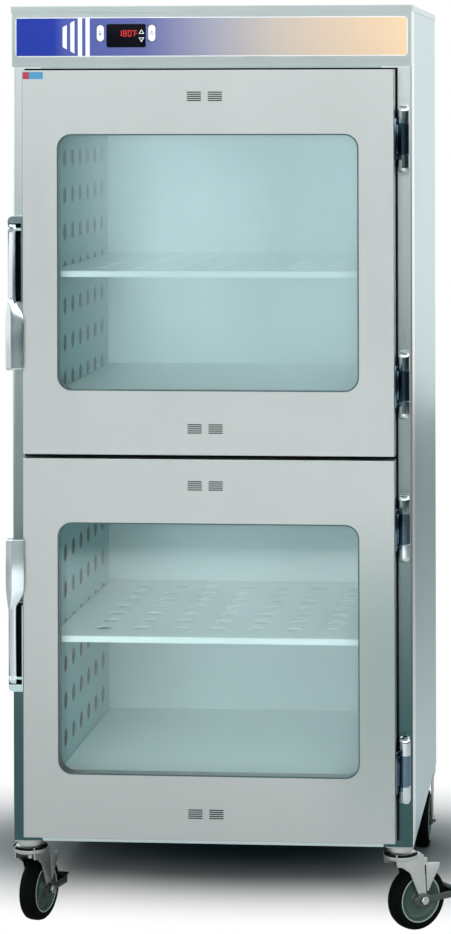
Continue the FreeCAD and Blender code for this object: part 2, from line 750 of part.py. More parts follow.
def door(level, low_edge, high_edge):
    """A hollow glazed door: outer pan, back plate, two panes and a gasket."""
    z0, z1 = low_edge, high_edge
    pan_body = new_body(level + "_door_pan")
    pad(pan_body, "Y", DOOR_FACE, DOOR_BACK, box("-" + DOOR_SIDE, DOOR_SIDE, z0, z1))
    inset = "(cab_width / 2 - door_margin - gauge)"
    pocket(pan_body, "Y", DOOR_FACE + " + gauge", DOOR_BACK,
           box("-" + inset, inset, z0 + " + gauge", z1 + " - gauge"),
           box("-%s - gauge" % PANE_SIDE, PANE_SIDE + " + gauge",
               z0 + " + window_border - pane_lap - gauge",
               z1 + " - window_border + pane_lap + gauge"))
    pocket(pan_body, "Y", DOOR_FACE + " + gauge", DOOR_BACK,
           box("-" + PANE_SIDE, PANE_SIDE, z0 + " + window_border - pane_lap",
               z1 + " - window_border + pane_lap"))
    pocket(pan_body, "Y", DOOR_BACK + " - gauge", DOOR_BACK,
           box("-" + inset, inset, z0 + " + gauge", z1 + " - gauge"))
    pocket(pan_body, "Y", DOOR_FACE, DOOR_FACE + " + gauge",
           box("-" + WINDOW, WINDOW, z0 + " + window_border", z1 + " - window_border"))
    half = door_side - cell("window_side")
    fillet(pan_body, "window_round", lambda a, b: near(abs(a.x), half) and near(a.x, b.x)
           and near(a.z, b.z))
    slots = []
    for middle in (z0 + " + slot_inset", z1 + " - slot_inset"):
        for row in range(int(cell("slot_rows"))):
            for side in (-1, 1):
                slots.append(around(
                    "(slot_shift + %s * slot_spread / 2)" % side,
                    "(%s + (%d - (slot_rows - 1) / 2) * slot_pitch)" % (middle, row),
                    "slot_long", "slot_tall"))
    pocket(pan_body, "Y", DOOR_FACE, DOOR_FACE + " + gauge", *slots)
    fillet(pan_body, "corner / 2", lambda a, b: near(a.y, door_face) and near(b.y, door_face)
           and (near(abs(a.x), door_side) or near(abs(b.x), door_side)))
    keep(pan_body)

    plate = new_body(level + "_door_liner")
    pad(plate, "Y", DOOR_BACK + " - gauge", DOOR_BACK,
        box("-" + inset, inset, z0 + " + gauge", z1 + " - gauge"))
    pocket(plate, "Y", DOOR_BACK + " - gauge", DOOR_BACK,
           box("-" + WINDOW, WINDOW, z0 + " + window_border", z1 + " - window_border"))
    fillet(plate, "window_round", lambda a, b: near(abs(a.x), half) and near(a.x, b.x)
           and near(a.z, b.z))
    keep(plate)

    across = ("-%s + side_gap" % PANE_SIDE, PANE_SIDE + " - side_gap")
    along = (z0 + " + window_border - pane_lap + side_gap",
             z1 + " - window_border + pane_lap - side_gap")
    group(level + "_door_glass", [
        block(level + "OuterPane", across, (DOOR_FACE + " + gauge",
                                            DOOR_FACE + " + gauge + pane_thick"), along),
        block(level + "InnerPane", across, (DOOR_BACK + " - gauge - pane_thick",
                                            DOOR_BACK + " - gauge"), along),
    ])

    seal = new_body(level + "_door_gasket")
    rim = "(cab_width / 2 - door_margin + gasket_proud)"
    pad(seal, "Y", DOOR_BACK, DOOR_BACK + " + gasket_thick",
        box("-" + rim, rim, z0 + " - gasket_proud", z1 + " + gasket_proud"),
        box("-%s + gasket_width" % rim, rim + " - gasket_width",
            z0 + " - gasket_proud + gasket_width", z1 + " + gasket_proud - gasket_width"))
    keep(seal)


door("upper", UP, UP_TOP)
door("lower", LOW, LOW_TOP)

# Edge-mounted hinges.
pivot_x = door_side + (cell("door_margin") - cell("hinge_side"))
pivot_y = front - cell("hinge_out")


def skin(rings):
    """A closed solid through rings of corners, with one flat face between each two sides."""
    faces = [Part.Face(Part.makePolygon(ring + ring[:1])) for ring in (rings[0], rings[-1])]
    for near_ring, far_ring in zip(rings, rings[1:]):
        for i in range(len(near_ring)):
            j = (i + 1) % len(near_ring)
            corners = [near_ring[i], near_ring[j], far_ring[j], far_ring[i], near_ring[i]]
            faces.append(Part.Face(Part.makePolygon(corners)))
    solid = Part.makeSolid(Part.makeShell(faces))
    return solid if solid.Volume > 0 else solid.reversed()


def lathe(axis, sides, spot, stations):
    """A many-sided turned bar. Stations are places along the axis and their radii."""
    rings = []
    for place_along, radius in stations:
        reach = radius / math.cos(math.pi / sides)
        rings.append(ring_about(reach, sides, spot + axis * place_along, axis))
    return skin(rings)


def barrel(radius, z0, z1, taper_low, taper_high):
    """A hinge knuckle about the pivot line, tapered at an outer end."""
    step = radius * 0.4
    stations = [(z0, radius - step), (z0 + step, radius)] if taper_low else [(z0, radius)]
    stations += [(z1 - step, radius), (z1, radius - step)] if taper_high else [(z1, radius)]
    spot = Vector(pivot_x, pivot_y, 0)
    return lathe(Vector(0, 0, 1), int(cell("small_sides")), spot, stations)


def frame_hinge(middle):
    """The leaf on the post, with its two end knuckles and the pin."""
    half = cell("hinge_tall") / 2
    radius = cell("knuckle_wide") / 2
    long = cell("knuckle_long")
    leaf_side = door_side + cell("gasket_proud") + 3 * side_gap
    leaf = solid_box(leaf_side, cell("cab_width") / 2 - cell("corner"),
                     front - cell("leaf_thick"), front, middle - half, middle + half)
    piece = leaf
    for low_end in (True, False):
        z0 = middle - half if low_end else middle + half - long
        web = solid_box(leaf_side, pivot_x + radius * 0.6, pivot_y, front - 1, z0 + 4,
                        z0 + long - 4)
        knuckle = barrel(radius, z0, z0 + long, low_end, not low_end)
        piece = piece.fuse(knuckle).fuse(web)
    pin = rod(cell("pin_wide") / 2, Vector(pivot_x, pivot_y, middle - half + long),
              Vector(0, 0, 1), cell("hinge_tall") - 2 * long)
    return piece.fuse(pin).removeSplitter()


def door_hinge(middle):
    """The middle knuckle and the arm that holds the door's edge."""
    half = cell("hinge_tall") / 2 - cell("knuckle_long") - side_gap
    knuckle = barrel(cell("knuckle_wide") / 2, middle - half, middle + half, False, False)
    arm = solid_box(door_side, pivot_x, pivot_y - 5, pivot_y + 5, middle - half, middle + half)
    edge = solid_box(door_side, door_side + 4, door_face + 3, door_back - 2,
                     middle - half - 12, middle + half + 12)
    piece = knuckle.fuse(arm).fuse(edge)
    bore = rod(cell("pin_wide") / 2 + cell("run_gap"),
               Vector(pivot_x, pivot_y, middle - 1.5 * half), Vector(0, 0, 1), 3 * half)
    return piece.cut(bore).removeSplitter()


inset = cell("hinge_inset")
hinge_levels = {"upper": (up_top - inset, up + inset), "lower": (low_top - inset, low + inset)}
frame_leaves = [frame_hinge(z) for pair in hinge_levels.values() for z in pair]
feature("hinge_frame_leaves", Part.makeCompound(frame_leaves))
for level, pair in hinge_levels.items():
    feature(level + "_hinge_door_leaves", Part.makeCompound([door_hinge(z) for z in pair]))

# Edge-mounted latches.
latch_right = -door_side
latch_left = latch_right - cell("latch_wide")
lever_x = (latch_left + latch_right) / 2 - cell("lever_shift")
latch_face = door_face - cell("latch_proud")
eye_y = latch_face + cell("lever_eye") / 2 - 4


def section(x, y, z, wide, thick, c):
    """The corners of a rectangle across Z whose own corners are cut by c."""
    w, d = wide / 2, thick / 2
    corners = [(w, d - c), (w - c, d), (-w + c, d), (-w, d - c),
               (-w, -d + c), (-w + c, -d), (w - c, -d), (w, -d + c)]
    return [Vector(x + a, y + b, z) for a, b in corners]


def latch(level, outer_end, down):
    """The case on the door's edge, its lever and the strike on the post."""
    turn = -1 if down else 1
    tall = cell("latch_tall")
    low_end = min(outer_end, outer_end + turn * tall)
    eye_z = outer_end + turn * 26
    deep = cell("latch_deep")
    case = solid_box(latch_left, latch_right, latch_face, latch_face + deep,
                     low_end, low_end + tall)
    uprights = [e for e in case.Edges if abs(e.Vertexes[0].Z - e.Vertexes[-1].Z) > 1
                and near(e.Vertexes[0].Y, latch_face) and near(e.Vertexes[0].X, latch_left)]
    case = case.makeFillet(cell("latch_skin"), uprights)
    groove_half = cell("lever_wide") / 2 + side_gap
    eye_room = cell("lever_eye") / 2 + 1
    groove_low = eye_z - tall if down else eye_z - eye_room
    groove = solid_box(lever_x - groove_half, latch_right - cell("latch_lip"), latch_face - 1,
                       latch_face + cell("groove_deep"), groove_low, groove_low + tall + eye_room)
    wall = cell("latch_wall")
    strike_half = cell("strike_tall") / 2
    room = cell("strike_gap")
    middle = outer_end + turn * tall / 2
    keeper_front = front - cell("strike_out")
    nest = solid_box(latch_left + wall, latch_right - wall, keeper_front - room,
                     latch_face + deep + 1, middle - strike_half - room, middle + strike_half + room)
    pin = rod(cell("lever_pin") / 2, Vector(latch_left + 0.6, eye_y, eye_z), Vector(1, 0, 0),
              cell("latch_wide") - 1.2)
    case = case.cut(groove).cut(nest).fuse(pin).removeSplitter()
    feature(level + "_latch_case", case)

    keeper = solid_box(latch_left + wall + room, latch_right - wall - room, keeper_front, front,
                       middle - strike_half, middle + strike_half)

    radius = cell("lever_eye") / 2
    wide = cell("lever_wide")
    eye = prism(radius, int(cell("small_sides")),
                Vector(lever_x - wide / 2, eye_y, eye_z), Vector(1, 0, 0), wide)
    reach = cell("lever_long") - 26
    grip = cell("grip_long")
    bow = cell("grip_out")
    start = eye_y - radius + 6
    arm_end = reach - grip
    stations = [
        (1, start, wide, 10), (arm_end * 0.3, start - 3, wide, 10),
        (arm_end, start - 4.5, wide, 10), (arm_end + 8, start - bow * 0.6, wide + 5, 8),
        (arm_end + 22, start - bow, cell("grip_wide"), 7),
        (arm_end + grip * 0.55, start - bow * 1.3, cell("grip_wide"), 7),
        (reach - 10, start - bow * 0.8, cell("grip_wide") - 3, 7),
        (reach, start - bow * 0.5, cell("grip_wide") - 8, 7),
    ]
    if down:
        stations.reverse()
    shift = cell("grip_shift")
    rings = [section(lever_x + shift * (w - wide) / (cell("grip_wide") - wide), y,
                     eye_z + turn * z, w, t, 2.5) for z, y, w, t in stations]
    bore = rod(cell("lever_pin") / 2 + cell("run_gap"),
               Vector(lever_x - wide / 2 - 2, eye_y, eye_z), Vector(1, 0, 0), wide + 4)
    lever = eye.fuse(skin(rings)).cut(bore).removeSplitter()
    feature(level + "_latch_lever", lever)
    return keeper


drop = cell("latch_drop")
keepers = [latch("upper", up_top - drop, True), latch("lower", low + drop, False)]
feature("latch_strikes", Part.makeCompound(keepers))

# Casters.
CASTER_SIDE = "(cab_width / 2 - caster_side)"
CASTER_FRONT = "(-cab_depth / 2 + caster_front)"
CASTER_BACK = "(cab_depth / 2 - caster_back)"
axle_z = cell("wheel_size") / 2
plate_low = base - cell("plate_thick")
race_low = plate_low - cell("race_tall")
crown_top = race_low - side_gap
crown_low = crown_top - cell("crown_drop")
leg_in = cell("hub_wide") / 2 + side_gap
leg_out = leg_in + cell("leg_thick")
plate_half = cell("plate_wide") / 2


def caster_plate(x, y):
    plate = solid_box(-plate_half, plate_half, -plate_half, plate_half, plate_low, base)
    up = Vector(0, 0, 1)
    race = drum(cell("race_neck") / 2, int(cell("race_sides")), Vector(0, 0, race_low), up,
                cell("race_tall"))
    king = rod(cell("king_size") / 2, Vector(0, 0, crown_low - 2), up, plate_low - crown_low + 2)
    piece = plate.fuse(race).fuse(king).removeSplitter()
    piece.translate(Vector(x, y, 0))
    return piece


def fork(reach, turning):
    """Two legs under a crown. The axle lies behind the crown's middle by reach."""
    half = 27
    legs = []
    for side in (-1, 1):
        outline = [(-half, crown_top), (half, crown_top), (reach + 13, axle_z + 8),
                   (reach + 9, axle_z - 12), (reach - 9, axle_z - 12), (reach - 15, axle_z + 6),
                   (-half, crown_low - 4)]
        x = leg_in if side > 0 else -leg_out
        points = [Vector(x, y, z) for y, z in outline]
        face = Part.Face(Part.makePolygon(points + points[:1]))
        legs.append(face.extrude(Vector(cell("leg_thick"), 0, 0)))
    crown = solid_box(-leg_out, leg_out, -half, half, crown_top - 5, crown_top)
    cup = crown
    if turning:
        cup = drum(cell("race_size") / 2, int(cell("race_sides")), Vector(0, 0, crown_top - 9),
                   Vector(0, 0, 1), 9)
    end = leg_out + cell("axle_end")
    axle = rod(cell("axle_size") / 2, Vector(-end, reach, axle_z), Vector(1, 0, 0), 2 * end)
    piece = crown.fuse(cup).fuse(legs[0]).fuse(legs[1]).fuse(axle)
    # The brake's arms lie between a front fork's legs and its nuts.
    seat = leg_out + cell("brake_room") if turning else leg_out
    for side in (-1, 1):
        nut = prism(9, 6, Vector(side * seat, reach, axle_z), Vector(side, 0, 0), end - seat + 3)
        piece = piece.fuse(nut)
    if turning:
        bore = rod(cell("king_size") / 2 + cell("run_gap"), Vector(0, 0, crown_low - 20),
                   Vector(0, 0, 1), 60)
        piece = piece.cut(bore)
    return piece.removeSplitter()


def tyre(middle):
    """A tyre with bevelled shoulders, about the axle's middle."""
    half, radius, bevel = cell("wheel_wide") / 2, cell("wheel_size") / 2, cell("tyre_bevel")
    sides = int(cell("wheel_sides"))
    across = Vector(1, 0, 0)
    tread = lathe(across, sides, middle, [(-half, radius - bevel), (bevel - half, radius),
                                          (half - bevel, radius), (half, radius - bevel)])
    seat = drum(cell("hub_size") / 2, sides, middle - across * 2 * half, across, 4 * half)
    return tread.cut(seat)


def hub(middle):
    """A wheel centre: a thick web that fills the tyre and a long boss."""
    inner, boss = cell("hub_size") / 2, cell("hub_wide")
    web = cell("wheel_wide") - 2 * cell("hub_dish")
    across = Vector(1, 0, 0)
    disc = drum(inner, int(cell("wheel_sides")), middle - Vector(web / 2, 0, 0), across, web)
    core = prism(cell("boss_size") / 2, int(cell("small_sides")),
                 middle - Vector(boss / 2, 0, 0), across, boss)
    bore = rod(cell("axle_size") / 2 + cell("run_gap"), middle - Vector(boss, 0, 0), across,
               2 * boss)
    return disc.fuse(core).cut(bore)


def pedal(middle):
    """The brake: arms beside the wheel, joined by a foot plate behind the tread."""
    reach = cell("pedal_reach")
    inner = leg_out + 0.4
    y, z = middle.y, middle.z
    arms = []
    for side in (-1, 1):
        x = inner if side > 0 else -inner - 3
        eye = prism(13, 8, Vector(x, y, z), Vector(1, 0, 0), 3)
        bar = solid_box(x, x + 3, y - 24, y + reach, z - 7, z + 7)
        arms += [eye, bar]
    foot = solid_box(-inner - 3, inner + 3, y + reach - 4, y + reach, z - 7, z + 12)
    lip = solid_box(-inner - 3, inner + 3, y + reach - 4, y + reach + 10, z + 9, z + 12)
    piece = arms[0].multiFuse(arms[1:] + [foot, lip])
    bore = rod(cell("axle_size") / 2 + cell("run_gap"), Vector(-2 * inner, y, z),
               Vector(1, 0, 0), 4 * inner)
    return piece.cut(bore).removeSplitter()


def set_down(name, shape, x, y, turn):
    """Stand a caster piece under the carcass, turned about its swivel."""
    thing = feature(name, shape)
    place(thing, x, y, "0", turn)
    return thing


front_plates = []
for side in (-1, 1):
    front_plates.append(caster_plate(side * (cell("cab_width") / 2 - cell("caster_side")),
                                     front + cell("caster_front")))
feature("front_caster_plates", Part.makeCompound(front_plates))
trail = cell("trail")
axle_place = Vector(0, trail, axle_z)
for name, side, turn in (("left", "-", "left_turn"), ("right", "", "right_turn")):
    spot = (side + CASTER_SIDE, CASTER_FRONT)
    set_down("front_%s_fork" % name, fork(trail, True), *spot, turn)
    for piece, make in (("tyre", tyre), ("hub", hub), ("brake", pedal)):
        set_down("front_%s_%s" % (name, piece), make(axle_place), *spot, turn)

rear_forks = []
for side in (-1, 1):
    piece = fork(0, False)
    plate = solid_box(-plate_half, plate_half, -plate_half, plate_half, crown_top, base)
    piece = piece.fuse(plate).removeSplitter()
    piece.translate(Vector(side * (cell("cab_width") / 2 - cell("caster_side")),
                           cell("cab_depth") / 2 - cell("caster_back"), 0))
    rear_forks.append(piece)
feature("rear_caster_forks", Part.makeCompound(rear_forks))
for name, side in (("left", "-"), ("right", "")):
    for piece, make in (("tyre", tyre), ("hub", hub)):
        set_down("rear_%s_%s" % (name, piece), make(Vector(0, 0, axle_z)),
                 side + CASTER_SIDE, CASTER_BACK, None)

screws = []
for x in (-1, 1):
    for z in (base + 40, (base + top) / 2, top - 130):
        spot = Vector(x * (cell("cab_width") / 2 - cell("rear_return") - 10),
                      cell("cab_depth") / 2, z)
        screws.append(prism(5, 6, spot, Vector(0, 1, 0), 2.5))
feature("back_panel_screws", Part.makeCompound(screws))

# Checks and files.
doc.recompute()
problems = []
for thing in doc.Objects:
    if "Invalid" in thing.State or "Error" in thing.State:
        problems.append("%s is %s" % (thing.Label, thing.State))
for part in parts:
    if part.Shape.isNull() or not part.Shape.isValid() or not part.Shape.Solids:
        problems.append("%s has no sound shape" % part.Label)
if problems:
    raise RuntimeError("; ".join(problems))
os.makedirs("parts", exist_ok=True)
for part in parts:
    part.Shape.exportStep(os.path.join("parts", part.Label + ".step"))
print("%d sub-parts written" % len(parts))
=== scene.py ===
import json
import math

import bmesh
import bpy
from mathutils import Matrix, Vector


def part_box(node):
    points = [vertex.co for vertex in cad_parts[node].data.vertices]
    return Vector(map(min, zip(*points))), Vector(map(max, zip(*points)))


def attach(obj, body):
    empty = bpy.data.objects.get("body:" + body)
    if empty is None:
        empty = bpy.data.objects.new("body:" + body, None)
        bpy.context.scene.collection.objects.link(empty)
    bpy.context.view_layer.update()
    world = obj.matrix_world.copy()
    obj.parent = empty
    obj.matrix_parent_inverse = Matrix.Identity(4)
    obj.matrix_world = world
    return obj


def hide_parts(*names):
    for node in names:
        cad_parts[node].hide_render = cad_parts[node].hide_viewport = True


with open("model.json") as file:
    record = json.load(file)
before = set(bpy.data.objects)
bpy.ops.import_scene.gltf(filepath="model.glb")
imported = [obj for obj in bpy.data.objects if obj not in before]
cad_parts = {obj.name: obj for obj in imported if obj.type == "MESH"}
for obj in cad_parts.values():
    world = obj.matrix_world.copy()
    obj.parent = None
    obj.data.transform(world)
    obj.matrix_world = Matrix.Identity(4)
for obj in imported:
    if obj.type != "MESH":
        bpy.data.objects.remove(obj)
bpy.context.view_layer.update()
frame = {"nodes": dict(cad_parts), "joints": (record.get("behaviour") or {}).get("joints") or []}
boxOf = {node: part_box(node) for node in frame["nodes"]}
jointOf = {joint["name"]: joint for joint in frame["joints"]}
view = bpy.context.scene
view.view_settings.view_transform = "Standard"
print("frame loaded:", len(boxOf), "nodes")


hair = 0.0001  # how far faces of two pieces stand apart, so that neither flickers through the other
weldGap = 1e-6  # closer corners are one corner
onLine = 1e-5  # how close a corner must be to a line or a face to lie on it
upright, sideways = (0, 0, 1), (1, 0, 0)


def take(setting, names):  # the values that go with a row of names
    return [setting[name] for name in names.split()]


# Meshes, made and changed in edit mode.
def enterEdit():
    bpy.ops.object.mode_set(mode="EDIT")


def applyPlace():
    bpy.ops.object.transform_apply(location=True, rotation=True, scale=True)


def clearSelection():
    if bpy.context.object and bpy.context.object.mode != "OBJECT":
        bpy.ops.object.mode_set(mode="OBJECT")
    bpy.ops.object.select_all(action="DESELECT")


def pick(kind, test):  # select the corners, edges or faces whose middle and normal pass a test
    modes = {"VERT": (True, False, False), "EDGE": (False, True, False), "FACE": (False, False, True)}
    bpy.context.tool_settings.mesh_select_mode = modes[kind]
    bpy.ops.mesh.select_all(action="DESELECT")
    work = bmesh.from_edit_mesh(bpy.context.object.data)
    if kind == "VERT":
        for corner in work.verts:
            corner.select_set(bool(test(corner.co, corner.normal)))
    elif kind == "EDGE":
        for edge in work.edges:
            first, last = edge.verts[0].co, edge.verts[1].co
            edge.select_set(bool(test((first + last) / 2, (last - first).normalized())))
    else:
        for face in work.faces:
            face.select_set(bool(test(face.calc_center_median(), face.normal)))
    work.select_flush_mode()
    bmesh.update_edit_mesh(bpy.context.object.data)


def pickAll():
    bpy.ops.mesh.select_all(action="SELECT")


def pull(offset):  # extrude what is selected, as one region
    bpy.ops.mesh.extrude_region_move(TRANSFORM_OT_translate={"value": Vector(offset)})


def faceOut():
    pickAll()
    bpy.ops.mesh.normals_make_consistent(inside=False)


def drawOut(offset):  # give a flat outline its thickness or length
    pickAll()
    pull(offset)
    faceOut()


def startBlock(name, low, high):  # a block between two corners, left in edit mode
    clearSelection()
    low, high = Vector(low), Vector(high)
    bpy.ops.mesh.primitive_cube_add(size=1, location=(low + high) / 2, scale=high - low)
    piece = bpy.context.object
    piece.name = name
    applyPlace()
    enterEdit()
    return piece


def startOutline(name, points, fill=True):  # drawn corner after corner and left in edit mode
    clearSelection()
    bpy.ops.mesh.primitive_plane_add(size=0.0002, location=points[0])
    piece = bpy.context.object
    piece.name = name
    applyPlace()
    enterEdit()
    bpy.context.tool_settings.mesh_select_mode = (True, False, False)
    pickAll()
    bpy.ops.mesh.merge(type="CENTER")
    last = Vector(points[0])
    for point in points[1:]:
        step = Vector(point) - last
        bpy.ops.mesh.extrude_vertices_move(TRANSFORM_OT_translate={"value": step})
        last = Vector(point)
    if fill:
        pickAll()
        bpy.ops.mesh.edge_face_add()
    return piece


def startLoop(name, points):  # an outline whose ends are joined, without a face
    piece = startOutline(name, points, fill=False)
    pick("VERT", lambda spot, n: min((spot - Vector(points[end])).length for end in (0, -1)) < weldGap)
    bpy.ops.mesh.edge_face_add()
    return piece


def spinOutline(name, outline, centre, axis, steps):
    # the outline holds pairs: place along the axis, distance from it
    centre, axis = Vector(centre), Vector(axis).normalized()
    side = axis.cross(Vector(upright))
    side = side.normalized() if side.length > 0.01 else Vector(sideways)
    points = [centre + axis * along + side * out for along, out in outline]
    piece = startLoop(name, points)
    pickAll()
    bpy.ops.mesh.spin(steps=steps, angle=2 * math.pi, center=centre, axis=axis)
    pickAll()
    bpy.ops.mesh.remove_doubles(threshold=weldGap)
    faceOut()
    leaveEdit(piece)
    return piece


def roundEdges(test, width, segments=3):
    pick("EDGE", test)
    bpy.ops.mesh.bevel(offset=width, segments=segments, affect="EDGES", clamp_overlap=True)


def modify(piece, kind, **settings):  # add a modifier and apply it
    leaveEdit(piece)
    modifier = piece.modifiers.new(kind.lower(), kind)
    for key, value in settings.items():
        setattr(modifier, key, value)
    bpy.ops.object.modifier_apply(modifier=modifier.name)


def leaveEdit(piece):
    clearSelection()
    bpy.context.view_layer.objects.active = piece
    piece.select_set(True)


def join(name, pieces):  # several made pieces into one object
    leaveEdit(pieces[0])
    for piece in pieces[1:]:
        piece.select_set(True)
    if len(pieces) > 1:
        bpy.ops.object.join()
    pieces[0].name = name
    return pieces[0]


def turnAbout(piece, centre, angle, axis="Z"):
    leaveEdit(piece)
    enterEdit()
    pickAll()
    # with no window the operator turns the other way
    bpy.ops.transform.rotate(value=-angle, orient_axis=axis, center_override=centre)


def finishPiece(piece, body, paint, replaced=(), smooth=35):
    leaveEdit(piece)
    applyPlace()
    if smooth:
        bpy.ops.object.shade_smooth_by_angle(angle=math.radians(smooth))
    piece.data.materials.clear()
    piece.data.materials.append(paints[paint])
    if replaced:
        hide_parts(*replaced)
    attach(piece, body)
    return piece


# Camera.
cameraSetting = {
    "place": (0.80705, -5.72135, 1.67105),
    "yaw": 0.0754,
    "roll": -0.0022,
    "lens": 104.35,
    "shift": (-0.1979, -0.395),
}


def makeCamera():
    yaw, roll = cameraSetting["yaw"], cameraSetting["roll"]
    ahead = Vector((-math.sin(yaw), math.cos(yaw), 0))
    level = Vector((math.cos(yaw), math.sin(yaw), 0))
    up = Vector(upright)
    right = level * math.cos(roll) + up * math.sin(roll)
    top = up * math.cos(roll) - level * math.sin(roll)
    bpy.ops.object.camera_add()
    camera = bpy.context.object
    camera.name = "studioCamera"
    turn = Matrix((right, top, -ahead)).transposed().to_4x4()
    camera.matrix_world = Matrix.Translation(cameraSetting["place"]) @ turn
    camera.data.lens = cameraSetting["lens"]
    camera.data.sensor_width = 36
    camera.data.shift_x, camera.data.shift_y = cameraSetting["shift"]
    camera.data.clip_end = 60
    view.camera = camera


clearSelection()
makeCamera()
print("camera set")


# Materials.
class Wire:  # a value inside a material, so that sums read as plain expressions
    def __init__(self, paint, socket):
        self.paint = paint
        self.socket = socket

    def work(self, operation, first, second=0.0):
        return self.paint.add("Math", {0: first, 1: second}, operation=operation)

    def __rsub__(self, other):
        return self.work("SUBTRACT", other, self)

    def size(self):
        return self.work("ABSOLUTE", self)

    def between(self, low, high):  # 0 below low, 1 above high, and smooth from one to the other
        return self.paint.add("MapRange", {0: self, 1: low, 2: high}, interpolation_type="SMOOTHSTEP")


def addSum(method, operation):
    setattr(Wire, method, lambda self, other: self.work(operation, self, other))


for method, operation in (("__add__", "ADD"), ("__radd__", "ADD"), ("__sub__", "SUBTRACT"),
                          ("__mul__", "MULTIPLY"), ("__rmul__", "MULTIPLY"), ("__lt__", "LESS_THAN"),
                          ("__gt__", "GREATER_THAN"), ("smaller", "MINIMUM"), ("larger", "MAXIMUM"),
                          ("rest", "MODULO")):
    addSum(method, operation)


class Paint:  # one material, or the world, and its nodes
    def __init__(self, name, world=None):
        self.material = world or bpy.data.materials.new(name)
        self.material.use_nodes = True
        self.tree = self.material.node_tree
        self.tree.nodes.clear()

    def add(self, kind, sockets=None, output=0, stops=(), **settings):
        node = self.tree.nodes.new("ShaderNode" + kind)
        for key, value in settings.items():
            setattr(node, key, value)
        if stops:
            ramp = node.color_ramp.elements
            while len(ramp) < len(stops):
                ramp.new(0.5)
            for stop, (place, colour) in zip(ramp, stops):
                stop.position, stop.color = place, opaque(colour)
        for place, value in (sockets or {}).items():
            if isinstance(value, Wire):
                self.tree.links.new(value.socket, node.inputs[place])
            else:
                node.inputs[place].default_value = value
        return Wire(self, node.outputs[output]) if node.outputs else node

    def spot(self):
        return self.add("TexCoord", output="Object")

    def axes(self, spot=None):  # X, Y and Z of the spot, in metres
        parts = self.add("SeparateXYZ", {0: spot or self.spot()})
        outputs = parts.socket.node.outputs
        return [Wire(self, outputs[i]) for i in range(3)]

    def noise(self, stretch, detail=3.0, rough=0.55):  # one number stretches it alike all round
        stretch = stretch if isinstance(stretch, tuple) else (stretch,) * 3
        place = self.add("Mapping", {"Vector": self.spot(), "Scale": stretch})
        sockets = {"Vector": place, "Scale": 1.0, "Detail": detail, "Roughness": rough}
        return self.add("TexNoise", sockets)

    def blendColours(self, share, first, second, mode="MIX"):
        return self.add("Mix", {0: share, 6: first, 7: second}, output=2,
                        data_type="RGBA", blend_type=mode)

    def ramp(self, value, stops):
        return self.add("ValToRGB", {0: value}, stops=stops)

    def bump(self, height, strength, distance):
        return self.add("Bump", {"Height": height, "Strength": strength, "Distance": distance})

    def shade(self, sockets):
        return self.add("BsdfPrincipled", sockets)

    def finish(self, shader):
        self.add("OutputMaterial", {"Surface": shader})
        return self.material


def opaque(colour):
    return (*colour, 1.0)


def darker(colour, share):
    return tuple(c * share for c in colour)


# painted shade: a chamber's side walls, behind the racks, are painted darker than its back
steelSetting = {
    "doorSteel": {"tone": (0.645, 0.69, 0.68), "rough": 0.4, "grain": (900, 900, 14), "lowShade": 0.76,
                  "hem": 0.0011, "shadow": (0.66, 0.76, 0.74)},
    "caseSteel": {"tone": (0.56, 0.66, 0.67), "rough": 0.3, "grain": (900, 900, 12)},
    "sideSteel": {"tone": (0.52, 0.69, 0.72), "rough": 0.3, "grain": (900, 900, 12),
                  "postShading": ((0.055, 0.115, 0.12), (0.92, 1.0, 1.0)), "edgeHighlight": (0.97, 0.99, 0.99),
                  "edgeDeep": 0.05},
    "lidSteel": {"tone": (0.64, 0.72, 0.725), "rough": 0.3, "grain": (14, 900, 900)},
    "linerSteel": {"tone": (0.88, 0.98, 0.985), "rough": 0.42, "grain": (700, 700, 10), "metal": 0.0,
                   "shadeBehindRacks": 0.1, "lowShade": 0.7},
    "chamberSteel": {"tone": (0.25, 0.53, 0.54), "rough": 0.42, "grain": (700, 700, 10), "metal": 0.1},
    "shelfSteel": {"tone": (0.93, 0.98, 0.97), "rough": 0.4, "grain": (10, 700, 700), "metal": 0.0},
    "zincSteel": {"tone": (0.5, 0.53, 0.51), "rough": 0.36, "grain": (160, 160, 160)},
    "latchSteel": {"tone": (0.52, 0.66, 0.67), "rough": 0.22, "grain": (40, 40, 14)},
    "leverSteel": {"tone": (0.74, 0.82, 0.84), "rough": 0.2, "grain": (40, 40, 14)},
    "hingeSteel": {"tone": (0.62, 0.68, 0.7), "rough": 0.12, "grain": (40, 40, 14)},
    "darkChrome": {"tone": (0.13, 0.19, 0.24), "rough": 0.14, "grain": (40, 40, 14)},
    "brakeSteel": {"tone": (0.085, 0.105, 0.1), "rough": 0.34, "grain": (160, 160, 160)},
    "panSteel": {"tone": (0.1, 0.115, 0.12), "rough": 0.5, "grain": (14, 900, 900)},
}


# where painted shade begins and ends: the doors are painted darker towards the floor, and the lower one
# also at its right
shadeSetting = {
    "low": (0.2, 1.15), "right": (0.16, 0.34), "under": (0.62, 0.9), "above": (0.1, 0.55),
    "rackWall": 0.002, "doorFace": 0.0006, "postFace": 0.0025, "postLow": 0.15, "postHigh": 0.05,
}


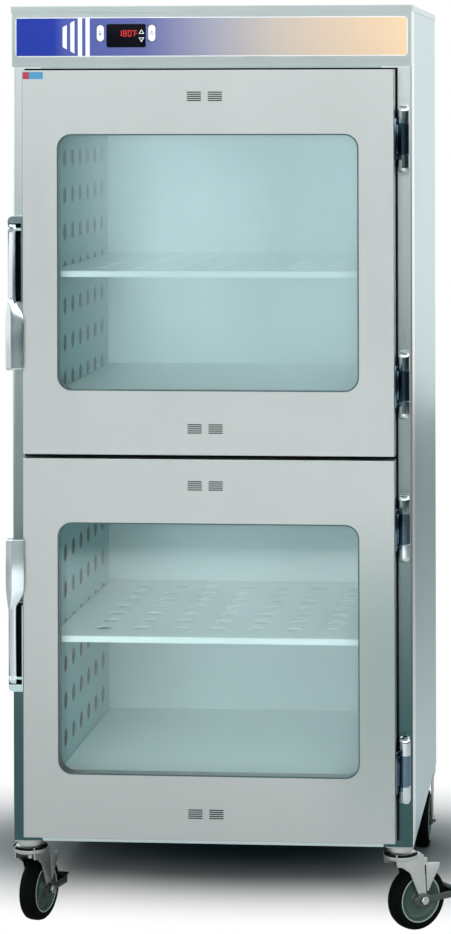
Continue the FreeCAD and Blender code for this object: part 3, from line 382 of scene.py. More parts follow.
def steelPaint(name):
    setting = steelSetting[name]
    paint = Paint(name)
    grain = paint.noise(setting["grain"], 2.0)
    cloud = paint.noise(3, 3.0)
    smear = paint.noise((14, 14, 5), 4.0)
    tone = setting["tone"]
    share = grain * 0.45 + cloud * 0.55
    colour = paint.blendColours(share, opaque(darker(tone, 0.93)), opaque(darker(tone, 1.06)))
    x, y, z = paint.axes()
    # painted shade on the side walls behind the racks
    if "shadeBehindRacks" in setting:
        wall = boxOf["upper_side_racks"][1].x - shadeSetting["rackWall"]
        dim = opaque(darker(tone, setting["shadeBehindRacks"]))
        colour = paint.blendColours(x.size() > wall, colour, dim)
    # painted shade: darker towards the floor
    if "lowShade" in setting:
        lit = z.between(*shadeSetting["low"])
        dim = paint.blendColours(lit, opaque((setting["lowShade"],) * 3), (1, 1, 1, 1))
        colour = paint.blendColours(1.0, colour, dim, "MULTIPLY")
    # painted shadow on the lower door's right, above its bottom
    if "shadow" in setting:
        right, under, above = take(shadeSetting, "right under above")
        shade = x.between(*right) * (1 - z.between(*under)) * z.between(*above)
        colour = paint.blendColours(shade, colour, opaque(setting["shadow"]), "MULTIPLY")
    if "hem" in setting:  # painted shade: a thin dark line along the doors' upright edges
        pan = boxOf["upper_door_pan"]
        hem = (x.size() > pan[1].x - setting["hem"]) * (y < pan[0].y + shadeSetting["doorFace"])
        colour = paint.blendColours(hem, colour, opaque(darker(tone, 0.4)))
    if "postShading" in setting:  # painted shade: the front posts darken towards the floor, and a painted highlight lies on the side just behind them
        low, high = boxOf["side_panel_left"]
        bottom, top = (opaque(post) for post in setting["postShading"])
        face, postLow, postHigh = take(shadeSetting, "postFace postLow postHigh")
        post = paint.blendColours(z.between(low.z + postLow, high.z - postHigh), bottom, top)
        beside = 1 - y.between(low.y + setting["edgeDeep"], low.y + 1.5 * setting["edgeDeep"])
        colour = paint.blendColours(beside, colour, opaque(setting["edgeHighlight"]))
        colour = paint.blendColours(y < low.y + face, colour, post)
    rough = setting["rough"] - 0.07 + grain * 0.08 + smear * 0.06
    normal = paint.bump(grain, 0.06, 0.0004)
    return paint.finish(paint.shade({"Base Color": colour, "Metallic": setting.get("metal", 1.0),
                                     "Roughness": rough, "Normal": normal}))


def chromePaint(name):
    paint = Paint(name)
    smear = paint.noise(30, 4.0)
    pits = paint.noise(220, 2.0)
    colour = paint.blendColours(smear, opaque((0.8, 0.83, 0.84)), opaque((0.88, 0.9, 0.91)))
    return paint.finish(paint.shade({"Base Color": colour, "Metallic": 1.0,
                                     "Roughness": smear * 0.08 + pits * 0.03 + 0.03,
                                     "Normal": paint.bump(smear, 0.03, 0.001)}))


plasticSetting = {
    "tyreRubber": {"tone": (0.0015, 0.0025, 0.0022), "rough": 0.6, "bump": 0.25, "scale": 260,
                   "shine": 0.03},
    "sealRubber": {"tone": (0.003, 0.004, 0.005), "rough": 0.62, "bump": 0.2, "scale": 300,
                   "shine": 0.06},
    "hubPlastic": {"tone": (0.035, 0.065, 0.052), "rough": 0.45, "bump": 0.1, "scale": 200,
                   "shine": 0.3},
    "hubRim": {"tone": (0.24, 0.31, 0.29), "rough": 0.42, "bump": 0.1, "scale": 200},
    "windowSealAndShade": {"tone": (0.05, 0.095, 0.095), "rough": 0.5, "bump": 0.1, "scale": 300, "shine": 0.3},
    "blackPlastic": {"tone": (0.003, 0.003, 0.006), "rough": 0.35, "bump": 0.08, "scale": 400,
                     "shine": 0.05},
    "whitePlastic": {"tone": (0.86, 0.88, 0.92), "rough": 0.35, "bump": 0.05, "scale": 400},
    "greyPrint": {"tone": (0.2, 0.22, 0.3), "rough": 0.45, "bump": 0.05, "scale": 400},
    "heaterMat": {"tone": (0.42, 0.12, 0.06), "rough": 0.5, "bump": 0.2, "scale": 180},
    "boardGreen": {"tone": (0.03, 0.17, 0.07), "rough": 0.4, "bump": 0.2, "scale": 120},
    "ironCore": {"tone": (0.11, 0.1, 0.095), "rough": 0.5, "bump": 0.2, "scale": 120},
}


def plasticPaint(name):
    setting = plasticSetting[name]
    paint = Paint(name)
    scale = setting["scale"]
    fine = paint.noise(scale, 3.0)
    dust = paint.noise(9, 5.0)
    tone = setting["tone"]
    colour = paint.blendColours(fine * 0.4 + dust * 0.6, opaque(darker(tone, 0.82)),
                                opaque(darker(tone, 1.25)))
    rough = setting["rough"] - 0.08 + dust * 0.16
    return paint.finish(paint.shade({"Base Color": colour, "Roughness": rough,
                                     "Specular IOR Level": setting.get("shine", 0.5),
                                     "Normal": paint.bump(fine, setting["bump"], 0.0006)}))


def woolPaint(name):
    paint = Paint(name)
    tufts = paint.noise(60, 8.0, 0.7)
    colour = paint.blendColours(tufts, opaque((0.52, 0.44, 0.2)), opaque((0.86, 0.78, 0.5)))
    return paint.finish(paint.shade({"Base Color": colour, "Roughness": 0.95,
                                     "Normal": paint.bump(tufts, 0.8, 0.004)}))


# the pale veil on the panes is a painted reflection, broken into streaks; it is stronger at the top by
# its high factor, and keeps only its left share of its strength at the left
glassSetting = {"tint": (0.965, 0.995, 0.995, 1.0), "gloss": 0.022, "rim": 0.5, "reflectionVeil": 0.1,
                "veilHigh": 4.4, "veilLeft": 0.12, "veilTone": (0.72, 0.92, 0.95, 1.0),
                "rise": (0.75, 1.55), "leftSpan": (-0.32, -0.05)}


def glassPaint(name):  # thin panes: mostly clear, with a pale veil of painted reflection and a weak mirror
    paint = Paint(name)
    clear = paint.add("BsdfTransparent", {"Color": glassSetting["tint"]})
    streak = paint.noise((2.2, 2.2, 1.2), 2.0)
    wipe = paint.noise(40, 4.0)
    # painted reflection: a pale diffuse veil
    reflectionVeil = paint.add("BsdfDiffuse", {"Color": glassSetting["veilTone"]})
    x, y, z = paint.axes()
    left = glassSetting["veilLeft"]
    rise = z.between(*glassSetting["rise"]) * (glassSetting["veilHigh"] - 1) + 1
    rise = rise * (x.between(*glassSetting["leftSpan"]) * (1 - left) + left)
    veiled = paint.add("MixShader", {0: streak * glassSetting["reflectionVeil"] * rise, 1: clear, 2: reflectionVeil})
    mirror = paint.add("BsdfGlossy", {"Color": (1, 1, 1, 1), "Roughness": wipe * 0.03 + 0.01})
    edge = paint.add("LayerWeight", {"Blend": 0.12}, output="Fresnel")
    shine = (edge * glassSetting["rim"] + glassSetting["gloss"]).smaller(0.9)
    whole = paint.add("MixShader", {0: shine, 1: veiled, 2: mirror})
    return paint.finish(whole)


overlaySetting = {
    "border": 0.0016, "stripes": (-0.3, -0.238), "pitch": 0.0155,
    "barWide": 0.0086, "white": (0.88, 0.9, 0.94, 1.0),
    "blends": [(0.0, (0.01, 0.032, 0.32)), (0.1, (0.01, 0.032, 0.32)), (0.125, (0.064, 0.092, 0.35)),
               (0.33, (0.108, 0.127, 0.335)), (0.5, (0.32, 0.33, 0.42)), (0.66, (0.51, 0.46, 0.41)),
               (0.82, (0.64, 0.51, 0.39)), (1.0, (0.78, 0.58, 0.37))],
}


def overlayPaint(name):  # printed film: a colour run, a plain bar motif and a pale edge
    low, high = boxOf["control_overlay"]
    setting = overlaySetting
    paint = Paint(name)
    x, y, z = paint.axes()
    along = (x - low.x) * (1 / (high.x - low.x))
    colour = paint.ramp(along, setting["blends"])
    grain = paint.noise(500, 2.0)
    start, end = setting["stripes"]
    step = (x - start).rest(setting["pitch"])
    # the bars grow longer to the right
    reach = (x - start) * 0.62 + 0.022
    tall = (z - (low.z + high.z) / 2).size()
    bars = (step < setting["barWide"]) * (x > start) * (x < end) * (tall < reach * 0.9)
    colour = paint.blendColours(bars, colour, setting["white"])
    edge = ((z - low.z).smaller(high.z - z)).smaller((x - low.x).smaller(high.x - x))
    colour = paint.blendColours(edge < setting["border"], colour, setting["white"])
    return paint.finish(paint.shade({"Base Color": colour, "Roughness": grain * 0.08 + 0.3,
                                     "Specular IOR Level": 0.25,
                                     "Normal": paint.bump(grain, 0.05, 0.0003)}))


def digitPaint(name):
    paint = Paint(name)
    glow = paint.noise(300, 2.0)
    colour = paint.blendColours(glow, (0.85, 0.02, 0.015, 1), (1.0, 0.06, 0.03, 1))
    return paint.finish(paint.shade({"Base Color": (0.25, 0.01, 0.01, 1), "Roughness": 0.4,
                                     "Emission Color": colour, "Emission Strength": 1.0}))


stickerSetting = {"low": (-0.3705, 1.7105), "high": (-0.3295, 1.7245), "split": -0.3575,
                  "thick": 0.0002, "left": (0.36, 0.03, 0.06), "right": (0.06, 0.26, 0.45)}


def stickerPaint(name):  # two plain fields
    paint = Paint(name)
    x = paint.axes()[0]
    left, right = (opaque(stickerSetting[part]) for part in ("left", "right"))
    colour = paint.blendColours(x > stickerSetting["split"], left, right)
    grain = paint.noise(600, 2.0)
    return paint.finish(paint.shade({"Base Color": colour, "Roughness": grain * 0.1 + 0.35}))


paints = {name: steelPaint(name) for name in steelSetting}
paints.update({name: plasticPaint(name) for name in plasticSetting})
paints["chrome"] = chromePaint("chrome")
paints["rockwool"] = woolPaint("rockwool")
paints["paneGlass"] = glassPaint("paneGlass")
paints["overlayFilm"] = overlayPaint("overlayFilm")
paints["redGlow"] = digitPaint("redGlow")
paints["stickerInk"] = stickerPaint("stickerInk")
print("materials made:", len(paints))

nodesOfPaint = {
    "sideSteel": ["side_panel_left", "side_panel_right"],
    "lidSteel": ["top_lid", "header_panel"],
    "caseSteel": ["front_frame", "back_panel"],
    "panSteel": ["base_pan"],
    "linerSteel": ["upper_liner", "lower_liner"],
    "chamberSteel": ["upper_side_racks", "lower_side_racks", "service_tray"],
    "shelfSteel": ["upper_mid_shelf", "upper_floor_shelf", "lower_mid_shelf", "lower_floor_shelf"],
    "doorSteel": ["%s_door_pan", "%s_door_liner"],
    "paneGlass": ["%s_door_glass"],
    "sealRubber": ["%s_door_gasket"],
    "chrome": ["%s_latch_case", "%s_latch_lever", "%s_hinge_door_leaves", "hinge_frame_leaves",
               "latch_strikes", "temperature_probes"],
    "zincSteel": ["front_%s_fork", "front_caster_plates", "rear_caster_forks", "back_panel_screws"],
    "brakeSteel": ["front_%s_brake"],
    "tyreRubber": ["front_%s_tyre", "rear_%s_tyre"],
    "hubPlastic": ["front_%s_hub", "rear_%s_hub"],
    "rockwool": ["insulation"],
    "heaterMat": ["heater_strips"],
    "ironCore": ["transformer"],
    "boardGreen": ["control_board"],
    "overlayFilm": ["control_overlay"],
    "blackPlastic": ["terminals_and_limit_switch", "power_inlet", "display_lens", "key_up", "key_down"],
    "whitePlastic": ["key_lock", "key_power"],
}


def nodesNamed(pattern):  # a gap at its start stands for both doors, one inside it for both sides
    if "%s" not in pattern:
        return [pattern]
    parts = ("upper", "lower") if pattern.startswith("%s") else ("left", "right")
    return [pattern % part for part in parts]


for paint, patterns in nodesOfPaint.items():
    for pattern in patterns:
        for name in nodesNamed(pattern):
            mesh = frame["nodes"][name].data
            mesh.materials.clear()
            mesh.materials.append(paints[paint])
print("nodes dressed")


# Studio.
studioSetting = {
    "floorSize": 14, "floorTone": (0.93, 0.945, 0.95),
    # the floor turns white from here out, measured from under the back with X and Y stretched
    "whiteFloor": (0.5, 1.35), "fadeMiddle": (0, 0.3, 0), "fadeStretch": (0.9, 2.2, 1),
    # a painted shadow darkens the floor under the cabinet, from the first distance out to the second
    "underShadow": (0.04, 0.09, 0.1), "underSpan": (0.1, 1),
    "ambient": 0.37, "ambientBehind": 0.04, "ambientTone": (0.94, 0.985, 1.0),
    # what polished metal sees in front of the object, from its left to its right, and over that
    "reflected": [(0.0, (1.0, 1.0, 1.0)), (0.2, (1.0, 1.0, 1.0)), (0.24, (0.1, 0.14, 0.15)),
                  (0.35, (0.1, 0.14, 0.15)), (0.38, (0.2, 0.24, 0.25)), (0.46, (0.2, 0.24, 0.25)),
                  (0.49, (0.02, 0.035, 0.04)), (0.66, (0.15, 0.2, 0.2)), (0.76, (0.02, 0.03, 0.035)),
                  (1.0, (0.02, 0.03, 0.035))],
    "overhead": (2.95, 2.95, 2.92), "overheadSpan": (0.07, 0.2),
    "ceiling": (0.4, 0.46, 0.47), "ceilingSpan": (0.42, 0.62),
    # metal sees white behind the object, and the even light fades from the front to the back
    "whiteSpan": (0.5, 0.85), "fadeSpan": (-0.4, 0.1), "levelSpan": (0, 0.4), "levelShare": 0.75,
    "lamps": {
        "key": {"place": (1.9, -4.8, 2.5), "aim": (0, 0, 0.9), "size": 1.8, "watts": 88},
        "fill": {"place": (-0.5, -4.9, 1.5), "aim": (0, 0, 1.0), "size": 2.0, "watts": 98},
        "top": {"place": (0.2, 0.1, 4.6), "aim": (0, 0, 0), "size": 2.6, "watts": 95},
    },
}


def makeFloor():
    paint = Paint("paleFloor")
    tone = studioSetting["floorTone"]
    grain = paint.noise(6, 3.0)
    rays = paint.add("LightPath", output="Is Camera Ray")
    middle, stretch = studioSetting["fadeMiddle"], studioSetting["fadeStretch"]
    offset = paint.add("VectorMath", {0: paint.spot(), 1: middle}, operation="SUBTRACT")
    stretched = paint.add("VectorMath", {0: offset, 1: stretch}, operation="MULTIPLY")
    away = paint.add("VectorMath", {0: stretched}, output="Value", operation="LENGTH")
    far = away.between(*studioSetting["whiteFloor"])
    colour = paint.blendColours(grain, opaque(darker(tone, 0.99)), opaque(tone))
    # painted shadow under the cabinet
    lit = away.between(*studioSetting["underSpan"])
    colour = paint.blendColours(lit, opaque(studioSetting["underShadow"]), colour)
    white = paint.add("Emission", {"Color": (1, 1, 1, 1), "Strength": 1.0})
    matt = paint.shade({"Base Color": colour, "Roughness": 0.9, "Specular IOR Level": 0.0})
    surface = paint.add("MixShader", {0: far * rays, 1: matt, 2: white})
    floorPaint = paint.finish(surface)
    clearSelection()
    bpy.ops.mesh.primitive_plane_add(size=studioSetting["floorSize"], location=(0, 2.0, 0))
    floor = bpy.context.object
    floor.name = "floor"
    applyPlace()
    floor.data.materials.append(floorPaint)


def makeWorld():
    world = bpy.data.worlds.new("studioWorld")
    view.world = world
    paint = Paint("studioWorld", world)
    x, y, z = paint.axes(paint.add("TexCoord", output="Generated"))
    seen = paint.add("LightPath", output="Is Camera Ray")
    nodes = seen.socket.node.outputs
    glossy, through = Wire(paint, nodes["Is Glossy Ray"]), Wire(paint, nodes["Is Transmission Ray"])
    bands = paint.ramp(x * 0.5 + 0.5, studioSetting["reflected"])
    above = z.between(*studioSetting["overheadSpan"])
    bands = paint.blendColours(above, bands, opaque(studioSetting["overhead"]))
    high = z.between(*studioSetting["ceilingSpan"])
    bands = paint.blendColours(high, bands, opaque(studioSetting["ceiling"]))
    mirror = paint.blendColours(y.between(*studioSetting["whiteSpan"]), bands, (1, 1, 1, 1))
    ahead, behind = (opaque(darker(studioSetting["ambientTone"], studioSetting[share]))
                     for share in ("ambient", "ambientBehind"))
    fade, level, most = take(studioSetting, "fadeSpan levelSpan levelShare")
    share = y.between(*fade).larger(most - z.between(*level))
    ambient = paint.blendColours(share, ahead, behind)
    colour = paint.blendColours(glossy, ambient, mirror)
    colour = paint.blendColours(seen.larger(through), colour, (1, 1, 1, 1))
    light = paint.add("Background", {"Color": colour, "Strength": 1.0})
    paint.add("OutputWorld", {"Surface": light})


def makeLamps():
    for name, lamp in studioSetting["lamps"].items():
        bpy.ops.object.light_add(type="AREA", location=lamp["place"])
        light = bpy.context.object
        light.name = name + "Light"
        light.data.shape = "SQUARE"
        light.data.size = lamp["size"]
        light.data.energy = lamp["watts"]
        aim = Vector(lamp["aim"]) - Vector(lamp["place"])
        # metal sees the world's soft bands and not the lamps
        light.visible_glossy = False
        light.rotation_euler = aim.to_track_quat("-Z", "Y").to_euler()


makeFloor()
makeWorld()
makeLamps()
print("studio lit")

# Racks and shelves: punched sheet with folded edges.
rackSetting = {
    "sheet": 0.0012, "holeSize": 0.0185, "holeSides": 20, "run": 0.081, "rise": 0.0765,
    "gap": 0.016, "bend": 0.003, "runnerReach": 0.015, "runnerStep": 0.002, "lip": 0.013,
    "holesPast": 0.004, "shelfPitch": 0.078, "shelfBend": 0.003,
}
shelfTop = {level + part: boxOf[level + part][1].z
            for level in ("upper", "lower") for part in ("_mid_shelf", "_floor_shelf")}


def evenRow(pitch, room):  # even places about zero for the rows of holes that a room takes
    count = int((room - 2 * rackSetting["holeSize"]) // pitch)
    return [pitch * (i - (count - 1) / 2) for i in range(count)]


def punchedSheet(name, corners, spots, turn):
    piece = startLoop(name, corners)
    for spot in spots:
        bpy.ops.mesh.primitive_circle_add(vertices=rackSetting["holeSides"],
                                          radius=rackSetting["holeSize"], location=spot, rotation=turn)
    pickAll()
    bpy.ops.mesh.fill()
    faceOut()
    return piece


def makeRackWall(name, side, low, high):
    half = rackSetting["sheet"] / 2
    x, start, end = side * (high.x - rackSetting["gap"] + half), low.y + half, high.y - half
    corners = [(x, start, low.z), (x, end, low.z), (x, end, high.z), (x, start, high.z)]
    crest = high.z + rackSetting["holesPast"]
    spots = [(x, (start + end) / 2 + y, (low.z + crest) / 2 + z)
             for z in evenRow(rackSetting["rise"], crest - low.z)
             for y in evenRow(rackSetting["run"], end - start)]
    piece = punchedSheet(name, corners, spots, (0, math.pi / 2, 0))
    for edge in (start, end):
        pick("EDGE", lambda spot, along: abs(spot.y - edge) < onLine and abs(spot.x - x) < onLine)
        pull((side * (rackSetting["gap"] - half), 0, 0))
        roundEdges(lambda spot, along: abs(spot.y - edge) < onLine and abs(spot.x - x) < onLine
                   and abs(along.z) > 0.9, rackSetting["bend"])
    modify(piece, "SOLIDIFY", thickness=rackSetting["sheet"], offset=0)
    return piece


def makeRunner(name, side, face, start, end, top):
    sheet, reach = rackSetting["sheet"], rackSetting["runnerReach"]
    under = top - rackSetting["lip"]
    outline = [(face, under - sheet), (face, top - rackSetting["runnerStep"]),
               (face - sheet, top - rackSetting["runnerStep"]), (face - sheet, under),
               (face - reach, under), (face - reach, under - sheet)]
    piece = startOutline(name, [(side * x, start, z) for x, z in outline])
    drawOut((0, end - start, 0))
    leaveEdit(piece)
    return piece


def makeRacks(level):
    low, high = boxOf[level + "_side_racks"]
    made = []
    for side in (-1, 1):
        made.append(makeRackWall("rackWall", side, low, high))
        for part in ("_mid_shelf", "_floor_shelf"):
            made.append(makeRunner("runner", side, high.x - rackSetting["gap"], low.y, high.y,
                                   shelfTop[level + part]))
    piece = join(level + "SideRacks", made)
    finishPiece(piece, "cabinet", "chamberSteel", (level + "_side_racks",))


def makeShelf(level, part, holed):
    low, high = boxOf[level + part]
    half = rackSetting["sheet"] / 2
    top = high.z - half
    west, east, start, end = low.x + half, high.x - half, low.y + half, high.y - half
    corners = [(west, start, top), (east, start, top), (east, end, top), (west, end, top)]
    pitch, spots = rackSetting["shelfPitch"], []
    if holed:
        spots = [(x, (start + end) / 2 + y, top) for x in evenRow(pitch, east - west)
                 for y in evenRow(pitch, end - start)]
    piece = punchedSheet(level + part.title().replace("_", ""), corners, spots, (0, 0, 0))

    def onRim(spot):
        off = (spot.x - west, spot.x - east, spot.y - start, spot.y - end)
        return min(abs(gap) for gap in off) < onLine

    pick("EDGE", lambda spot, along: onRim(spot))
    pull((0, 0, low.z - top))
    roundEdges(lambda spot, along: onRim(spot) and abs(spot.z - top) < onLine and abs(along.z) < 0.1,
               rackSetting["shelfBend"])
    faceOut()
    modify(piece, "SOLIDIFY", thickness=rackSetting["sheet"], offset=0)
    finishPiece(piece, "cabinet", "shelfSteel", (level + part,))


for level in ("upper", "lower"):
    makeRacks(level)
    makeShelf(level, "_mid_shelf", True)
    makeShelf(level, "_floor_shelf", False)
print("racks and shelves made")


# Flat outlines.
def thinPlate(name, outline, y, thick):  # a flat print whose outline holds pairs of X and Z
    piece = startOutline(name, [(x, y, z) for x, z in outline])
    drawOut((0, -thick, 0))
    leaveEdit(piece)
    return piece


def bandPlate(name, outline, inner, y, thick):  # a flat outlined print: two loops bridged
    loops = [startLoop(name, [(x, y, z) for x, z in row]) for row in (outline, inner)]
    piece = join(name, loops)
    enterEdit()
    pickAll()
    bpy.ops.mesh.bridge_edge_loops()
    drawOut((0, -thick, 0))
    leaveEdit(piece)
    return piece


def bar(x0, x1, z0, z1):  # a plain bar with its corners cut off, as pairs
    cut = min(x1 - x0, z1 - z0) * 0.4
    return [(x0 + cut, z0), (x1 - cut, z0), (x1, z0 + cut), (x1, z1 - cut),
            (x1 - cut, z1), (x0 + cut, z1), (x0, z1 - cut), (x0, z0 + cut)]


def rounded(x0, x1, z0, z1, radius, arcs=6):  # corners of a rounded rectangle, as pairs
    corners = []
    for x, z, first in ((x1 - radius, z1 - radius, 0), (x0 + radius, z1 - radius, 90),
                        (x0 + radius, z0 + radius, 180), (x1 - radius, z0 + radius, 270)):
        for i in range(arcs + 1):
            angle = math.radians(first + 90 * i / arcs)
            corners.append((x + radius * math.cos(angle), z + radius * math.sin(angle)))
    return corners


# Side sheets: a strip with the post, the skin and a rear return, and one above it with no post.
sheetSetting = {"bend": 0.005, "rearBend": 0.0022, "post": 0.06, "segments": 6}


def makeSide(side, level):
    low, high = boxOf["side_panel_" + level]
    gauge = boxOf["side_panel_right"][1].x - boxOf["header_panel"][1].x
    half = gauge / 2
    outer = side * (max(abs(low.x), abs(high.x)) - half)
    post = side * (abs(outer) + half - sheetSetting["post"])
    rear = boxOf["back_panel"][1].x * side
    front, back, seam = low.y + half, high.y - half, boxOf["header_panel"][0].z
    made = []
    for start, bottom, top in (((post, front), low.z, seam), ((outer, low.y), seam, high.z)):
        path = [start, (outer, front), (outer, back), (rear, back)]
        if start[0] == outer:
            path = [start, (outer, back), (rear, back)]
        strip = startOutline("sideStrip", [(x, y, bottom) for x, y in path], fill=False)
        pickAll()
        bpy.ops.mesh.extrude_edges_move(TRANSFORM_OT_translate={"value": (0, 0, top - bottom)})
        for y, width in ((front, sheetSetting["bend"]), (back, sheetSetting["rearBend"])):
            roundEdges(lambda spot, along: abs(spot.y - y) < onLine and abs(spot.x - outer) < onLine
                       and abs(along.z) > 0.9, width, sheetSetting["segments"])
        faceOut()
        modify(strip, "SOLIDIFY", thickness=gauge, offset=0)
        made.append(strip)
    finishPiece(join("sideSheet" + level.title(), made), "cabinet", "sideSteel",
                ("side_panel_" + level,))


makeSide(-1, "left")
makeSide(1, "right")
print("side sheets bent")


# Edge hinges: rounded knuckles on a pin, one leaf on the post and one on the door's edge.
hingeSetting = {
    "radius": 0.0115, "end": 0.0665, "knuckle": 0.036, "gap": 0.0003, "steps": 32,
    "leafBack": 0.004, "leafRound": 0.0105, "armThick": 0.009, "postEdge": 0.399,
    "leafGap": 0.0009, "webInset": 0.005, "webPast": 0.0065, "webShort": 0.001, "webRound": 0.002,
    "armIn": 0.0005,
    "strapFront": 0.0032, "strapBack": 0.0022, "strapRound": 0.0012, "strapEnd": 0.0118,
    "strapThick": 0.0038, "endRoom": 0.138, "screwPast": 0.006, "screwIn": 0.004, "screw": 0.0032,
    "screwSteps": 16,
    # how an outer knuckle's end rounds over: distance from the end, share of the radius
    "crown": [(0, 0.3), (0.0008, 0.55), (0.0028, 0.78), (0.0055, 0.92), (0.0085, 0.985), (0.0115, 1)],
    "ease": 0.0008,
}
hingeAxis = Vector(jointOf["upper_door_hinge"]["pos_m"])


def hingeLevels(door):
    low, high = boxOf[door + "_door_pan"]
    return (high.z - hingeSetting["endRoom"], low.z + hingeSetting["endRoom"])


def knuckleOutline(low, high, roundLow, roundHigh):  # pairs: height, radius
    radius, ease = hingeSetting["radius"], hingeSetting["ease"]
    flat = [(0, (radius - ease) / radius), (ease, 1)]
    under, over = (hingeSetting["crown"] if crowned else flat for crowned in (roundLow, roundHigh))
    return ([(low, 0.0)] + [(low + rise, radius * share) for rise, share in under]
            + [(high - rise, radius * share) for rise, share in reversed(over)] + [(high, 0.0)])


def softBlock(name, low, high, width=0.0015, segments=3):  # a block with every edge rounded
    piece = startBlock(name, low, high)
    roundEdges(lambda spot, along: True, width, segments)
    leaveEdit(piece)
    return piece


def screwHead(name, spot, axis, radius):  # a low domed head
    dome = [(0, 0), (0, radius), (radius * 0.25, radius * 0.98), (radius * 0.5, radius * 0.8),
            (radius * 0.66, radius * 0.45), (radius * 0.68, 0.0003), (radius * 0.68, 0)]
    return spinOutline(name, dome, spot, axis, hingeSetting["screwSteps"])


def makeFrameHinge(level):
    x, y = hingeAxis.x, hingeAxis.y
    end, long, back, steps = take(hingeSetting, "end knuckle leafBack steps")
    inset, past, short, corner = take(hingeSetting, "webInset webPast webShort webRound")
    post = boxOf["side_panel_right"][0].y
    edge = boxOf["upper_door_gasket"][1].x + hingeSetting["leafGap"]
    leaf = rounded(edge, hingeSetting["postEdge"], level - end, level + end, hingeSetting["leafRound"])
    made = [thinPlate("hingeLeaf", leaf, post - hair, back)]
    for low, first in ((level - end, True), (level + end - long, False)):
        high = low + long
        made.append(spinOutline("knuckle", knuckleOutline(low, high, first, not first), (x, y, 0),
                                upright, steps))
        made.append(softBlock("knuckleWeb", (edge + 2 * hair, y, low + inset),
                              (x + past, post - short, high - inset), corner))
    return made


def makeDoorHinge(level, door):
    x, y = hingeAxis.x, hingeAxis.y
    end, knuckle, gap, deep, steps = take(hingeSetting, "end knuckle gap strapThick steps")
    front, back, corner = take(hingeSetting, "strapFront strapBack strapRound")
    half, thick = end - knuckle - gap, hingeSetting["armThick"] / 2
    strap = half + hingeSetting["strapEnd"]
    low, high = boxOf[door + "_door_pan"]
    outline = knuckleOutline(level - half, level + half, False, False)
    barrel = spinOutline("doorKnuckle", outline, (x, y, 0), upright, steps)
    inside, short, bend = take(hingeSetting, "armIn webShort webRound")
    made = [softBlock("hingeArm", (high.x + inside, y - thick, level - half + 2 * hair),
                      (x - short, y + thick, level + half - 2 * hair), bend),
            softBlock("hingeStrap", (high.x + hair, low.y + front, level - strap),
                      (high.x + deep, high.y - back, level + strap), corner)]
    past = half + hingeSetting["screwPast"]
    for z in (level - past, level + past):
        spot = (high.x + deep - 2 * hair, y + hingeSetting["screwIn"], z)
        made.append(screwHead("strapScrew", spot, sideways, hingeSetting["screw"]))
    return [barrel], made


frameHinges = []
for door in ("upper", "lower"):
    barrels, straps = [], []
    for height in hingeLevels(door):
        frameHinges += makeFrameHinge(height)
        barrel, strap = makeDoorHinge(height, door)
        barrels += barrel
        straps += strap
    finishPiece(join(door + "DoorKnuckles", barrels), door + "_door", "darkChrome",
                (door + "_hinge_door_leaves",))
    finishPiece(join(door + "DoorStraps", straps), door + "_door", "darkChrome")
finishPiece(join("frameHinges", frameHinges), "cabinet", "hingeSteel",
            ("hinge_frame_leaves",))
print("hinges made")


# Edge latches: a channel case with the lever in it, and a broad grip beyond the case.
latchSetting = {
    "wall": 0.0014, "rightWall": 0.002, "endWall": 0.0142, "hood": 0.0095, "floor": 0.026,
    "edge": 0.0012, "bed": 0.0009, "pin": 0.004, "pinIn": 0.0007, "pinShort": 0.0015,
    "arm": 0.0155, "armThick": 0.01, "forward": 0.0035,
    "boss": 0.008, "bossWide": 0.0155, "bossBore": 0.0042, "bossEase": 0.0015,
    # a disc on the boss, as height and radius, and its place from the eye
    "disc": [(0, 0), (0, 0.0062), (0.004, 0.0062), (0.0048, 0.0054), (0.0048, 0.0036), (0.004, 0.0028),
             (0.004, 0)],
    "discPlace": (-0.0008, -0.0046, 0),
    "footLow": (-0.0105, -0.013, -0.0022), "footHigh": (0.002, -0.0045, 0.0022),
    # sections along the lever from its eye: distance, shift in X, shift in Y, width, thickness
    "armRun": [(-0.0112, 0, 0.002, 0.96, 0.6), (-0.0095, 0, 0.0005, 1.0, 0.95), (0.01, 0, 0, 1.0, 1.0),
               (0.06, 0, -0.003, 1.0, 1.0), (0.12, 0, -0.004, 1.0, 1.0), (0.146, 0, -0.0045, 1.04, 1.0),
               (0.156, 0.001, -0.005, 1.25, 0.9)],
    "gripRun": [(0.136, -0.0015, -0.0072, 0.4, 0.8), (0.146, -0.0005, -0.0077, 0.46, 0.95),
                (0.16, 0.0035, -0.0084, 0.76, 1.0), (0.172, 0.0056, -0.0088, 0.95, 1.0),
                (0.186, 0.006, -0.009, 1.0, 1.0), (0.215, 0.006, -0.0105, 1.0, 1.0),
                (0.25, 0.006, -0.0095, 0.98, 1.0), (0.272, 0.006, -0.009, 0.97, 1.0),
                (0.277, 0.006, -0.009, 0.96, 1.0), (0.2785, 0.006, -0.009, 0.93, 0.95)],
    # across the arm, as shares of half its width and thickness, and across the grip in metres
    "armSection": [(-1, 0.6), (-1, -0.1), (-0.8, -0.42), (0.5, -1), (0.85, -0.85), (1, -0.3), (1, 0.6),
                   (0.55, 1), (-0.55, 1)],
    "gripSection": [(-0.0195, 0.002), (-0.0175, -0.001), (-0.006, -0.0052), (-0.003, -0.005),
                    (0.017, 0.0006), (0.019, 0.0022), (0.017, 0.0034), (-0.0175, 0.0034)],
}


def sweepSections(name, outline, spot, runs, turn, levels=2):
    # the outline lies across Z at the first run, and each run moves and sizes it
    centre, lastWide, lastThick = None, 1, 1
    for along, shiftX, shiftY, wide, thick in runs:
        target = Vector((spot.x + shiftX, spot.y + shiftY, spot.z + turn * along))
        if centre is None:
            points = [(target.x + x * wide, target.y + y * thick, target.z) for x, y in outline]
            piece = startOutline(name, points)
        else:
            pull(target - centre)
            growth = (wide / lastWide, thick / lastThick, 1)
            bpy.ops.transform.resize(value=growth, center_override=target)
        centre, lastWide, lastThick = target, wide, thick
    faceOut()
    modify(piece, "SUBSURF", levels=levels, render_levels=levels)
    return piece


